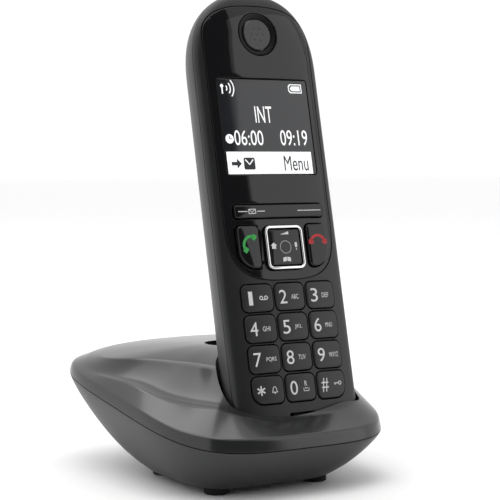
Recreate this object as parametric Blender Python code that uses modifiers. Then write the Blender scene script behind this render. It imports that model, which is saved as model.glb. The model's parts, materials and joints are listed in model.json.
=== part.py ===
"""Cordless telephone handset standing in its charging base.

Everything is worked out in millimetres and turned to metres where a mesh becomes an object.
World axes: +Z up, the keypad faces -Y, and the origin is on the table under the middle of the base.
The handset has its own frame, an empty leaned back in the cradle: x runs across the keypad,
y goes into the handset from its front face, and z climbs from the bottom end to the earpiece.
"""

import math

import bmesh
import bpy
from mathutils import Matrix, Vector

MM = 0.001

# Handset body.
HANDSET_LENGTH = 155.0
HANDSET_WIDTH = 48.2
FRONT_DEPTH = 4.5          # front face to the seam between the two shells
BACK_DEPTH = 22.0          # seam to the back of the handset
FRONT_ROUNDNESS = 2.9      # exponent of the front half of the cross-section
BACK_ROUNDNESS = 2.05      # exponent of the rounded back
TOP_REACH = 28.0           # height over which the sides close in to the top
TOP_FRONT_REACH = 15.0
TOP_BACK_REACH = 32.0
BOTTOM_REACH = 9.0
END_ROUNDNESS = 2.4
FRONT_WALL = 2.2
REAR_WALL = 1.8
GAP = 0.3                  # clearance between fixed neighbours
KEY_GAP = 0.45             # clearance round everything that is pressed

# Front panel and display.
PANEL_HALF_WIDTH = HANDSET_WIDTH / 2 - 3.0
PANEL_LOW = 54.7
PANEL_TOP_MARGIN = 5.2
PANEL_LOW_RISE = 22.0
PANEL_HIGH_RISE = 13.0
PANEL_LOW_ROUNDNESS = 3.2
PANEL_HIGH_ROUNDNESS = 2.6
PANEL_THICKNESS = 1.0
DISPLAY_WIDTH = HANDSET_WIDTH - 12.8
DISPLAY_HEIGHT = 33.1
DISPLAY_CENTRE = HANDSET_LENGTH - 47.6
DISPLAY_CORNER = 0.8
DISPLAY_SINK = 0.75        # lens below the panel's middle line
LCD_MARGIN = 1.2
LCD_TOP = 3.1
LCD_THICKNESS = 2.6

# Earpiece.
EARPIECE_CENTRE = HANDSET_LENGTH - 15.2
EARPIECE_RING_RADIUS = 7.4
EARPIECE_GRILLE_RADIUS = 5.4
SPEAKER_RADIUS = 7.6
SPEAKER_THICKNESS = 3.0

# Keys.
KEY_WIDTH = (HANDSET_WIDTH - 14.0) / 3
KEY_HEIGHT = 9.0
KEY_CORNER = 2.0
KEY_OUTER_CORNER = 4.0
KEY_COLUMN_PITCH = KEY_WIDTH + 1.1
KEY_ROW_PITCH = KEY_HEIGHT + 1.18
KEY_LOWEST_ROW = 18.4
KEY_PROUD = 0.35
KEY_DEPTH = 2.5
KEY_TRAVEL = 0.8
CALL_KEY_WIDTH = 8.0
CALL_KEY_HEIGHT = 14.4
CALL_KEY_CENTRE = 66.0
CALL_KEY_CORNER = 1.6
CALL_KEY_SWEEP = 6.0
CALL_KEY_PROUD = 0.9
SOFTKEY_WIDTH = DISPLAY_WIDTH - 0.6
SOFTKEY_HEIGHT = 4.4
SOFTKEY_CENTRE = 78.1
SOFTKEY_CORNER = 0.9
SOFTKEY_PROUD = 0.2
NAV_SIZE = 14.8
CALL_KEY_OFFSET = NAV_SIZE / 2 + 2.2 + CALL_KEY_WIDTH / 2
NAV_RIM = 0.9
NAV_CORNER = 2.2
NAV_CENTRE = 65.5
NAV_PROUD = 1.5
NAV_STEM_RADIUS = 2.6
NAV_STEM_HEIGHT = 0.8

# Handset inner parts.
MAT_TOP = 3.9
MAT_THICKNESS = 1.0
BOARD_TOP = 6.2
BOARD_THICKNESS = 1.2
BOARD_WIDTH = HANDSET_WIDTH - 9.2
BOARD_LOW = 14.0
BOARD_HIGH = HANDSET_LENGTH - 24.0
ANTENNA_WIDTH = 18.0
ANTENNA_HEIGHT = 5.0
CELL_FRONT_ROOM = 11.5
CELL_BACK_ROOM = 3.25
CELL_RADIUS = (BACK_DEPTH - CELL_FRONT_ROOM) / 2
CELL_LENGTH = 44.5
CELL_DEPTH = FRONT_DEPTH + BACK_DEPTH - REAR_WALL - CELL_RADIUS - CELL_BACK_ROOM
CELL_LOW = 44.0
CELL_SPACING = 2 * CELL_RADIUS + 0.8
CELL_TIP = 1.0
CELL_TIP_RADIUS = 1.9
BAY_CLEARANCE = 0.6
BAY_WALL = 4.2
BAY_FLOOR = 1.5
COVER_WIDTH = CELL_SPACING + 2 * CELL_RADIUS + 5.2
COVER_LOW = 41.0
COVER_HEIGHT = 56.0
COVER_CORNER = 5.0
CONTACT_WIDTH = 7.0
CONTACT_THICKNESS = 0.5
BAY_END_ROOM = CONTACT_THICKNESS + 2 * GAP
MIC_WIDTH = 10.4
MIC_HEIGHT = 1.3
MIC_CENTRE = 9.7
RINGER_RADIUS = 9.0
RINGER_CENTRE = HANDSET_LENGTH - 41.0
RINGER_THICKNESS = 4.5
RINGER_SLOT_PITCH = 3.2
MIC_RADIUS = 2.2
MIC_THICKNESS = 2.4
PAD_WIDTH = 3.4
PAD_DEPTH = 4.0
PAD_THICKNESS = 1.8
PAD_SPREAD = 9.0
PAD_PLACE = 11.0

# Base shells.
BASE_WIDTH = 86.8          # across the middle; the sides flare a little to the rear
BASE_DEPTH = 107.0
BASE_FLARE = 0.05
BASE_ROUNDNESS = 4.0
SEAM_FRONT = 15.5
SEAM_SLOPE = 0.175
BAND_HEIGHT = 4.0
BAND_REAR_HEIGHT = 2.4
BAND_INSET = 0.8
BASE_WALL = 2.0
FOOT_WIDTH = 53.0          # flat underside of the base
FOOT_DEPTH = 50.0
FOOT_SHIFT_X = -5.0
FOOT_SHIFT_Y = -18.0
UNDERSIDE = 2.4
DOME_HEIGHT = 43.6

# Cradle.
LEAN_DEG = 12.86
RIGHT_RIM = 12.3           # handset side to the side of the base
FRONT_RIM = 11.5           # handset face to the front of the base
SEAT_HEIGHT = 14.4
WELL_CLEARANCE = 1.2
WELL_WALL = 1.6
SPRING_WIDTH = 2.2
SPRING_THICKNESS = 1.4
SPRING_TRAVEL = 0.8
SPRING_FOOT = 0.8
SPRING_TAIL = 5.0

# Base inner parts.
BUTTON_RADIUS = 6.2
BUTTON_FROM_WELL = 8.42     # button's middle behind the cradle's opening
BUTTON_X = 0.5
BUTTON_SINK = 1.6          # top of the button below the top of the dome
BUTTON_CAP = 5.0
BUTTON_FLANGE = 1.2
BASE_BOARD_WIDTH = 50.0
BASE_BOARD_DEPTH = 26.0
BASE_BOARD_Y = BASE_DEPTH / 2 - 31.0
BASE_BOARD_Z = 22.0
BASE_BOARD_THICKNESS = 1.6
JACK_WIDTH = 13.0
JACK_HEIGHT = 8.2
JACK_DEPTH = 13.0
JACK_MOUTH_Y = BASE_BOARD_Y + 8.5
JACK_SPREAD = 8.6
JACK_PORT_WIDTH = 10.0
JACK_PORT_HEIGHT = 6.2
JACK_PORT_DEPTH = 10.5
RUBBER_FOOT_RADIUS = 4.2
RUBBER_FOOT_RECESS = 0.8
FOOT_CORNER_INSET = 7.5
SCREW_RADIUS = 1.0
SCREW_HEAD_RADIUS = 2.2
SCREW_HEAD_HEIGHT = 0.7
SCREW_LENGTH = 10.0
SCREW_HOLE_RADIUS = 1.35
BOSS_RADIUS = 3.0
BOSS_FOOT_GAP = 0.5

SECTION_POINTS = 36
RING_POINTS = 60
CORNER_STEPS = 3
ROUND_STEPS = 24

# Crest and crease of the upper shell: direction from the middle of the base in degrees,
# distance in from the seam outline, and height above the table.
CREST = (
    (-178.0, 6.6, 32.0), (-163.0, 7.4, 30.4), (-151.0, 9.6, 28.9), (-140.0, 13.4, 28.0),
    (-131.0, 15.2, 27.7), (-121.0, 13.2, 27.8), (-113.0, 11.8, 25.6), (-103.0, 11.4, 23.7),
    (-90.0, 11.4, 23.1), (-78.0, 11.6, 23.3), (-67.0, 11.6, 24.0), (-57.0, 10.0, 25.7),
    (-46.0, 7.4, 27.2), (-38.0, 6.0, 28.6), (-22.0, 4.0, 31.0), (0.0, 4.0, 34.0),
    (30.0, 4.6, 36.8), (60.0, 6.5, 39.0), (90.0, 8.0, 39.8), (115.0, 7.5, 39.0),
    (130.0, 5.6, 37.0), (141.0, 4.4, 34.8), (150.0, 4.0, 33.2), (160.0, 4.6, 33.0),
)
CREASE = (
    (-178.0, 18.2, 39.3), (-157.0, 22.6, 39.1), (-133.0, 32.0, 38.7), (-121.0, 31.0, 38.4),
    (-100.0, 26.0, 38.2), (-80.0, 26.0, 38.0), (-60.0, 22.0, 36.4), (-44.0, 12.0, 32.8),
    (-30.0, 9.0, 33.0), (-14.0, 8.5, 35.4), (10.0, 9.5, 38.6), (35.0, 13.0, 40.6),
    (60.0, 16.0, 41.6), (90.0, 17.0, 42.0), (115.0, 15.0, 41.0), (130.0, 12.0, 38.9),
    (141.0, 9.4, 37.2), (149.0, 10.2, 38.2), (161.0, 14.2, 39.2),
)
# Share of the rise from crest to crease that is reached half way: low where the surface is scooped.
SCOOP = (
    (-178.0, 0.24), (-150.0, 0.22), (-121.0, 0.24), (-90.0, 0.4), (-60.0, 0.5), (-20.0, 0.58),
    (30.0, 0.62), (90.0, 0.66), (125.0, 0.62), (141.0, 0.5), (158.0, 0.32),
)

LEAN = math.radians(LEAN_DEG)
HANDSET_X = BASE_WIDTH / 2 - RIGHT_RIM - HANDSET_WIDTH / 2 - GAP / 3
HANDSET_Y = FRONT_RIM - BASE_DEPTH / 2
WELL_REAR_Y = HANDSET_Y + (FRONT_DEPTH + BACK_DEPTH + WELL_CLEARANCE) / math.cos(LEAN) \
    + (DOME_HEIGHT - SEAT_HEIGHT) * math.tan(LEAN)
BUTTON_Y = WELL_REAR_Y + BUTTON_FROM_WELL


def clear_scene():
    """Remove every object, and the meshes and materials left without one."""
    for item in list(bpy.data.objects):
        bpy.data.objects.remove(item, do_unlink=True)
    for block in (bpy.data.meshes, bpy.data.curves, bpy.data.materials):
        for item in list(block):
            block.remove(item)


def make_collection(name):
    """A new collection under the scene's own."""
    group = bpy.data.collections.new(name)
    bpy.context.scene.collection.children.link(group)
    return group


clear_scene()
PHONE = make_collection("cordless_phone_with_base")
CUTTERS = make_collection("cutters")


def finish(name, colour, roughness, metallic=0.0, alpha=1.0):
    """A Principled material in one plain colour."""
    made = bpy.data.materials.new(name)
    made.use_nodes = True
    shader = made.node_tree.nodes["Principled BSDF"]
    shader.inputs["Base Color"].default_value = (*colour, 1.0)
    shader.inputs["Roughness"].default_value = roughness
    shader.inputs["Metallic"].default_value = metallic
    shader.inputs["Alpha"].default_value = alpha
    return made


MATTE_BODY = finish("matte_body", (0.030, 0.031, 0.033), 0.48)
GLOSS_PANEL = finish("gloss_panel", (0.010, 0.010, 0.011), 0.10)
KEY_PLASTIC = finish("key_plastic", (0.026, 0.027, 0.029), 0.42)
CLEAR_LENS = finish("clear_lens", (0.02, 0.02, 0.022), 0.06, alpha=0.4)
DISPLAY_GLASS = finish("display_glass", (0.012, 0.013, 0.016), 0.2)
BRIGHT_CHROME = finish("bright_chrome", (0.80, 0.80, 0.82), 0.12, metallic=1.0)
EAR_PLASTIC = finish("ear_plastic", (0.06, 0.06, 0.065), 0.4)
BASE_GLOSS = finish("base_gloss", (0.035, 0.036, 0.038), 0.25)
BASE_SATIN = finish("base_satin", (0.040, 0.041, 0.043), 0.42)
BLACK_RUBBER = finish("black_rubber", (0.012, 0.012, 0.012), 0.85)
SILICONE = finish("silicone", (0.25, 0.26, 0.28), 0.6)
BOARD_GREEN = finish("board_green", (0.02, 0.12, 0.05), 0.5)
SPEAKER_METAL = finish("speaker_metal", (0.35, 0.35, 0.36), 0.35, metallic=1.0)
CELL_SLEEVE = finish("cell_sleeve", (0.05, 0.30, 0.12), 0.3)
SPRING_STEEL = finish("spring_steel", (0.62, 0.60, 0.55), 0.25, metallic=1.0)
JACK_PLASTIC = finish("jack_plastic", (0.02, 0.02, 0.02), 0.5)
SCREW_STEEL = finish("screw_steel", (0.45, 0.45, 0.46), 0.35, metallic=1.0)


def to_object(name, shape, collection, parent=None, origin=(0.0, 0.0, 0.0), shade=35.0):
    """Turn a bmesh in millimetres into an object in metres with its origin at a chosen point."""
    start = Vector(origin)
    bmesh.ops.translate(shape, verts=shape.verts, vec=-start)
    bmesh.ops.scale(shape, verts=shape.verts, vec=(MM, MM, MM))
    bmesh.ops.recalc_face_normals(shape, faces=shape.faces)
    mesh = bpy.data.meshes.new(name)
    shape.to_mesh(mesh)
    shape.free()
    mesh.shade_smooth()
    mesh.set_sharp_from_angle(angle=math.radians(shade))
    made = bpy.data.objects.new(name, mesh)
    made.location = start * MM
    made.parent = parent
    collection.objects.link(made)
    return made


def part(name, shape, material, parent=None, origin=(0.0, 0.0, 0.0)):
    """A piece of the telephone."""
    made = to_object(name, shape, PHONE, parent, origin)
    made.data.materials.append(material)
    return made


def cutter(name, shape, parent=None):
    """A solid that only shapes other pieces."""
    made = to_object(name, shape, CUTTERS, parent)
    made.hide_render = True
    made.display_type = "WIRE"
    return made


def combine(target, tool, operation):
    """Add a live Boolean modifier with the exact solver."""
    step = target.modifiers.new(f"{operation.lower()} {tool.name}", "BOOLEAN")
    step.operation = operation
    step.solver = "EXACT"
    step.object = tool
    return target


def cut(target, *tools):
    """Take each tool away from the target."""
    for tool in tools:
        combine(target, tool, "DIFFERENCE")
    return target


def soften(target, width, segments=2, angle=40.0):
    """Round the edges that turn more than the angle."""
    step = target.modifiers.new("rounded edges", "BEVEL")
    step.width = width * MM
    step.segments = segments
    step.limit_method = "ANGLE"
    step.angle_limit = math.radians(angle)
    return target


def loft(sections):
    """Skin closed sections that have the same number of points, and close both ends."""
    shape = bmesh.new()
    rings = [[shape.verts.new(point) for point in section] for section in sections]
    count = len(rings[0])
    for lower, upper in zip(rings, rings[1:]):
        for index in range(count):
            after = (index + 1) % count
            shape.faces.new((lower[index], lower[after], upper[after], upper[index]))
    shape.faces.new(rings[0][::-1])
    shape.faces.new(rings[-1])
    return shape


def prism(outline, low, high, axis="y"):
    """Extrude a closed outline between two levels along y or z."""
    shape = bmesh.new()
    if axis == "y":
        corners = [shape.verts.new((across, low, up)) for across, up in outline]
        travel = (0.0, high - low, 0.0)
    else:
        corners = [shape.verts.new((across, along, low)) for across, along in outline]
        travel = (0.0, 0.0, high - low)
    face = shape.faces.new(corners)
    grown = bmesh.ops.extrude_face_region(shape, geom=[face])
    moved = [item for item in grown["geom"] if isinstance(item, bmesh.types.BMVert)]
    bmesh.ops.translate(shape, verts=moved, vec=travel)
    return shape


def box(low, high):
    """A block between two opposite corners."""
    shape = bmesh.new()
    size = Vector(high) - Vector(low)
    middle = (Vector(high) + Vector(low)) / 2
    bmesh.ops.create_cube(shape, size=1.0, matrix=Matrix.Translation(middle) @ Matrix.Diagonal((*size, 1.0)))
    return shape


def rod(centre, radius, low, high, axis="z", steps=ROUND_STEPS):
    """A cylinder through a centre, between two levels along its axis."""
    shape = bmesh.new()
    middle = Vector(centre)
    level = (low + high) / 2
    if axis == "y":
        middle.y = level
        turn = Matrix.Rotation(math.pi / 2, 4, "X")
    else:
        middle.z = level
        turn = Matrix.Identity(4)
    bmesh.ops.create_cone(
        shape, cap_ends=True, segments=steps, radius1=radius, radius2=radius,
        depth=high - low, matrix=Matrix.Translation(middle) @ turn,
    )
    return shape


def rounded(width, height, radii, centre=(0.0, 0.0)):
    """Outline of a rectangle whose four corners have radii: low left, low right, high right, high left."""
    corners = (
        (-width / 2, -height / 2, 180.0), (width / 2, -height / 2, 270.0),
        (width / 2, height / 2, 0.0), (-width / 2, height / 2, 90.0),
    )
    outline = []
    for (across, up, start), radius in zip(corners, radii):
        middle_x = centre[0] + across - math.copysign(radius, across)
        middle_y = centre[1] + up - math.copysign(radius, up)
        for step in range(CORNER_STEPS + 1):
            angle = math.radians(start + 90.0 * step / CORNER_STEPS)
            outline.append((middle_x + radius * math.cos(angle), middle_y + radius * math.sin(angle)))
    return outline


def circle(radius, centre, steps=ROUND_STEPS):
    """Outline of a circle."""
    turns = [2 * math.pi * step / steps for step in range(steps)]
    return [(centre[0] + radius * math.cos(turn), centre[1] + radius * math.sin(turn)) for turn in turns]


def power(value, exponent):
    """Signed power, for superellipses."""
    return math.copysign(abs(value) ** exponent, value)


# --------------------------------------------------------------------------- handset body

def end_taper(distance, reach, exponent):
    """1 away from an end, closing to a small remainder at it."""
    near = max(distance, 0.4)
    if near >= reach:
        return 1.0
    return (1.0 - (1.0 - near / reach) ** exponent) ** (1.0 / exponent)


def handset_section(height, inset):
    """Cross-section of the handset at a height, shrunk by the inset all round."""
    above = height - inset
    below = HANDSET_LENGTH - inset - height
    foot = end_taper(above, BOTTOM_REACH, END_ROUNDNESS)
    half = (HANDSET_WIDTH / 2 - inset) * end_taper(below, TOP_REACH, END_ROUNDNESS) * foot
    front = (FRONT_DEPTH - inset) * end_taper(below, TOP_FRONT_REACH, END_ROUNDNESS) * foot
    back = (BACK_DEPTH - inset) * end_taper(below, TOP_BACK_REACH, END_ROUNDNESS) * foot
    section = []
    for index in range(SECTION_POINTS):
        angle = 2 * math.pi * index / SECTION_POINTS
        across, along = math.cos(angle), math.sin(angle)
        roundness = BACK_ROUNDNESS if along > 0 else FRONT_ROUNDNESS
        depth = back if along > 0 else front
        section.append((
            half * power(across, 2 / roundness),
            FRONT_DEPTH + depth * power(along, 2 / roundness),
            height,
        ))
    return section


def handset_body(inset):
    """The whole handset as one solid, shrunk by the inset."""
    heights = [inset + BOTTOM_REACH * (1 - math.cos(math.radians(turn))) for turn in (0, 22, 42, 66, 90)]
    top = HANDSET_LENGTH - inset
    heights += [HANDSET_LENGTH * 0.3, HANDSET_LENGTH * 0.55]
    heights += [top - TOP_BACK_REACH * (1 - math.cos(math.radians(turn)))
                for turn in (90, 74, 60, 48, 37, 27, 18, 10, 0)]
    return loft([handset_section(height, inset) for height in heights])


def crown(across):
    """How far the front face lies behind its middle line at a distance from it."""
    share = min(abs(across) / (HANDSET_WIDTH / 2), 0.999)
    return FRONT_DEPTH * (1 - (1 - share ** FRONT_ROUNDNESS) ** (1 / FRONT_ROUNDNESS))


def crown_slope(across):
    """Angle of the front face about the long axis at a distance from the middle line."""
    step = 0.5
    return math.atan2(crown(across + step) - crown(across - step), 2 * step)


def panel_outline(grow=0.0):
    """Outline of the glossy front panel: a rounded top and a shallow arc below the call keys."""
    low, high = PANEL_LOW - grow, HANDSET_LENGTH - PANEL_TOP_MARGIN + grow
    half = PANEL_HALF_WIDTH + grow
    steps = 24
    outline = []
    for index in range(2 * steps):
        angle = math.pi * index / steps
        across, along = math.cos(angle), math.sin(angle)
        if along >= 0:
            roundness, rise, start = PANEL_HIGH_ROUNDNESS, PANEL_HIGH_RISE, high - PANEL_HIGH_RISE
        else:
            roundness, rise, start = PANEL_LOW_ROUNDNESS, PANEL_LOW_RISE, low + PANEL_LOW_RISE
        outline.append((half * power(across, 2 / roundness), start + rise * power(along, 2 / roundness)))
    return outline


def key_outline(column, row, grow=0.0):
    """Outline of a number key; the outer lower corners of the bottom row are rounder."""
    small, large = KEY_CORNER + grow, KEY_OUTER_CORNER + grow
    low_left = large if (row == 0 and column == -1) else small
    low_right = large if (row == 0 and column == 1) else small
    centre = (column * KEY_COLUMN_PITCH, KEY_LOWEST_ROW + row * KEY_ROW_PITCH)
    return rounded(KEY_WIDTH + 2 * grow, KEY_HEIGHT + 2 * grow, (low_left, low_right, small, small), centre)


def call_key_outline(side, grow=0.0):
    """Outline of a call key; its lower outer corner sweeps round with the panel."""
    small, sweep = CALL_KEY_CORNER + grow, CALL_KEY_SWEEP + grow
    radii = (sweep, small, small, small) if side < 0 else (small, sweep, small, small)
    centre = (side * CALL_KEY_OFFSET, CALL_KEY_CENTRE)
    return rounded(CALL_KEY_WIDTH + 2 * grow, CALL_KEY_HEIGHT + 2 * grow, radii, centre)


def square(size, corner, centre, grow=0.0):
    """Outline of a rounded square or bar centred on the middle line."""
    width, height = (size, size) if isinstance(size, float) else size
    return rounded(width + 2 * grow, height + 2 * grow, (corner + grow,) * 4, (0.0, centre))


def build_handset(frame):
    """Shells, panel, keys and inner parts of the handset, in its own leaned frame."""
    inner_front = cutter("cut_inner_front", handset_body(FRONT_WALL), frame)
    inner_rear = cutter("cut_inner_rear", handset_body(REAR_WALL), frame)
    below_panel = cutter("cut_below_panel", handset_body(PANEL_THICKNESS + GAP), frame)
    panel_back = cutter("cut_panel_back", handset_body(PANEL_THICKNESS), frame)
    behind_seam = cutter("cut_behind_seam", box((-60, FRONT_DEPTH, -20), (60, 60, 200)), frame)
    ahead_of_seam = cutter("cut_ahead_of_seam", box((-60, -20, -20), (60, FRONT_DEPTH + GAP, 200)), frame)

    build_front(frame, inner_front, behind_seam, below_panel, panel_back)
    build_keys(frame)
    build_rear(frame, inner_rear, ahead_of_seam)
    build_handset_inside(frame)


def build_front(frame, inner_front, behind_seam, below_panel, panel_back):
    """Front shell, glossy panel, display lens and earpiece."""
    shell = part("front_shell", handset_body(0.0), MATTE_BODY, frame)
    cut(shell, behind_seam, inner_front)
    recess = cutter("cut_panel_recess", prism(panel_outline(GAP), -4.0, FRONT_DEPTH), frame)
    cut(recess, below_panel)
    cut(shell, recess)

    panel = part("front_panel", handset_body(0.0), GLOSS_PANEL, frame)
    cut(panel, panel_back)
    combine(panel, cutter("keep_panel", prism(panel_outline(), -4.0, FRONT_DEPTH), frame), "INTERSECT")

    through = {
        "cut_talk_hole": call_key_outline(-1, KEY_GAP),
        "cut_end_hole": call_key_outline(1, KEY_GAP),
        "cut_nav_hole": square(NAV_SIZE, NAV_CORNER, NAV_CENTRE, GAP),
        "cut_softkey_hole": square((SOFTKEY_WIDTH, SOFTKEY_HEIGHT), SOFTKEY_CORNER, SOFTKEY_CENTRE, KEY_GAP),
        "cut_display_hole": square((DISPLAY_WIDTH, DISPLAY_HEIGHT), DISPLAY_CORNER, DISPLAY_CENTRE, GAP),
        "cut_earpiece_hole": circle(EARPIECE_RING_RADIUS + GAP, (0.0, EARPIECE_CENTRE)),
    }
    for name, outline in through.items():
        cut(panel, cutter(name, prism(outline, -5.0, FRONT_DEPTH - 0.1), frame))
        cut(shell, bpy.data.objects[name])

    for row in range(4):
        for column in (-1, 0, 1):
            name = f"cut_key_hole_{row}_{column + 1}"
            cut(shell, cutter(name, prism(key_outline(column, row, KEY_GAP), -4.0, FRONT_DEPTH - 0.1), frame))
    slot = rounded(MIC_WIDTH, MIC_HEIGHT, (0.5,) * 4, (0.0, MIC_CENTRE))
    cut(shell, cutter("cut_mic_slot", prism(slot, -3.0, FRONT_DEPTH - 0.1), frame))

    lens_centre = (0.0, 0.0, DISPLAY_CENTRE)
    lens_outline = square((DISPLAY_WIDTH, DISPLAY_HEIGHT), DISPLAY_CORNER, DISPLAY_CENTRE)
    lens = part("display_lens", prism(lens_outline, DISPLAY_SINK, FRONT_WALL), CLEAR_LENS, frame, lens_centre)
    soften(lens, 0.15, 1)

    ear_centre = (0.0, 0.0, EARPIECE_CENTRE)
    ring = part(
        "earpiece_ring", prism(circle(EARPIECE_RING_RADIUS, (0.0, EARPIECE_CENTRE)), 0.1, FRONT_WALL),
        GLOSS_PANEL, frame, ear_centre,
    )
    bore = prism(circle(EARPIECE_GRILLE_RADIUS + GAP, (0.0, EARPIECE_CENTRE)), -2.0, FRONT_DEPTH)
    cut(ring, cutter("cut_earpiece_bore", bore, frame))
    soften(ring, 0.25, 1)
    grille = part(
        "earpiece_grille", rod(ear_centre, EARPIECE_GRILLE_RADIUS, 0.5, FRONT_WALL, "y"),
        EAR_PLASTIC, frame, ear_centre,
    )
    for side in (-1, 0, 1):
        hole = rod((side * EARPIECE_GRILLE_RADIUS / 2, 0.0, EARPIECE_CENTRE), 0.6, -1.0, FRONT_DEPTH, "y", 12)
        cut(grille, cutter(f"cut_grille_hole_{side + 1}", hole, frame))


KEY_NAMES = (("key_star", "key_0", "key_hash"), ("key_7", "key_8", "key_9"),
             ("key_4", "key_5", "key_6"), ("key_1", "key_2", "key_3"))


def build_keys(frame):
    """Number keys, call keys, softkey bar and the navigation key in its bright frame."""
    for row, names in enumerate(KEY_NAMES):
        for column, name in zip((-1, 0, 1), names):
            centre = Vector((column * KEY_COLUMN_PITCH, 0.0, KEY_LOWEST_ROW + row * KEY_ROW_PITCH))
            face = crown(centre.x) - KEY_PROUD
            shape = prism(key_outline(column, row), face, face + KEY_DEPTH)
            turn = Matrix.Rotation(crown_slope(centre.x), 4, "Z")
            about = Vector((centre.x, face, centre.z))
            bmesh.ops.rotate(shape, verts=shape.verts, cent=about, matrix=turn)
            soften(part(name, shape, KEY_PLASTIC, frame, centre), 0.35, 1)

    for side, name in ((-1, "talk_key"), (1, "end_key")):
        shape = prism(call_key_outline(side), -CALL_KEY_PROUD, KEY_DEPTH)
        key = part(name, shape, GLOSS_PANEL, frame, (side * CALL_KEY_OFFSET, 0.0, CALL_KEY_CENTRE))
        soften(key, 0.5, 1)

    bar_outline = square((SOFTKEY_WIDTH, SOFTKEY_HEIGHT), SOFTKEY_CORNER, SOFTKEY_CENTRE)
    bar = part(
        "softkey_bar", prism(bar_outline, -SOFTKEY_PROUD, KEY_DEPTH), GLOSS_PANEL,
        frame, (0.0, KEY_DEPTH, SOFTKEY_CENTRE),
    )
    soften(bar, 0.4, 1)

    nav_middle = (0.0, KEY_DEPTH, NAV_CENTRE)
    ring = part(
        "nav_ring", prism(square(NAV_SIZE, NAV_CORNER, NAV_CENTRE), -NAV_PROUD, FRONT_WALL),
        BRIGHT_CHROME, frame, nav_middle,
    )
    inside = square(NAV_SIZE, NAV_CORNER, NAV_CENTRE, -NAV_RIM)
    cut(ring, cutter("cut_nav_ring", prism(inside, -5.0, 5.0), frame))
    soften(ring, 0.25, 1)
    pad_outline = square(NAV_SIZE, NAV_CORNER, NAV_CENTRE, -NAV_RIM - KEY_GAP)
    pad = part("nav_pad", prism(pad_outline, -NAV_PROUD + 0.1, KEY_DEPTH), GLOSS_PANEL, frame, nav_middle)
    soften(pad, 0.4, 1)
    stem_top = KEY_DEPTH + GAP
    stem = rod(nav_middle, NAV_STEM_RADIUS, stem_top, stem_top + NAV_STEM_HEIGHT, "y", 24)
    part("nav_stem", stem, JACK_PLASTIC, frame, nav_middle)


def bay_box(grow_side, grow_end, front, back):
    """A box round the two cells, grown sideways and endways."""
    half = CELL_SPACING / 2 + CELL_RADIUS + grow_side
    low = CELL_LOW - grow_end
    high = CELL_LOW + CELL_LENGTH + grow_end
    return box((-half, front, low), (half, back, high))


def build_rear(frame, inner_rear, ahead_of_seam):
    """Rear shell with its battery bay, and the cover over the bay."""
    bay_front = CELL_DEPTH - CELL_RADIUS - BAY_CLEARANCE
    cover_middle = COVER_LOW + COVER_HEIGHT / 2
    shell = part("rear_shell", handset_body(0.0), MATTE_BODY, frame)
    cut(shell, ahead_of_seam, inner_rear)
    bay = cutter(
        "add_battery_bay",
        bay_box(BAY_CLEARANCE + BAY_WALL, BAY_END_ROOM + BAY_WALL, bay_front - BAY_FLOOR, 60.0), frame,
    )
    combine(bay, cutter("keep_bay", handset_body(REAR_WALL / 2), frame), "INTERSECT")
    combine(shell, bay, "UNION")
    ledge_outline = rounded(COVER_WIDTH + 2 * GAP, COVER_HEIGHT + 2 * GAP, (COVER_CORNER + GAP,) * 4,
                            (0.0, cover_middle))
    ledge = cutter("cut_cover_opening", prism(ledge_outline, CELL_DEPTH, 60.0), frame)
    cut(ledge, cutter("cut_below_cover", handset_body(REAR_WALL + GAP), frame))
    cut(shell, ledge)
    cut(shell, cutter("cut_battery_bay", bay_box(BAY_CLEARANCE, BAY_END_ROOM, bay_front, 60.0), frame))
    for side in (-1, 1):
        low = (side * PAD_SPREAD - PAD_WIDTH / 2 - GAP, PAD_PLACE - PAD_DEPTH / 2 - GAP, -3.0)
        high = (side * PAD_SPREAD + PAD_WIDTH / 2 + GAP, PAD_PLACE + PAD_DEPTH / 2 + GAP, REAR_WALL + 2.0)
        cut(shell, cutter(f"cut_charge_pad_{side + 1}", box(low, high), frame))
    for step in (-1, 0, 1):
        slot = rounded(RINGER_RADIUS, 1.4, (0.6,) * 4, (0.0, RINGER_CENTRE + RINGER_SLOT_PITCH * step))
        cut(shell, cutter(f"cut_ringer_slot_{step + 1}", prism(slot, BACK_DEPTH - 4.0, 60.0), frame))

    outline = rounded(COVER_WIDTH, COVER_HEIGHT, (COVER_CORNER,) * 4, (0.0, cover_middle))
    cover_place = (0.0, FRONT_DEPTH + BACK_DEPTH, cover_middle)
    cover = part("battery_cover", handset_body(0.0), MATTE_BODY, frame, cover_place)
    cut(cover, inner_rear)
    combine(cover, cutter("keep_cover", prism(outline, CELL_DEPTH, 60.0), frame), "INTERSECT")


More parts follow.
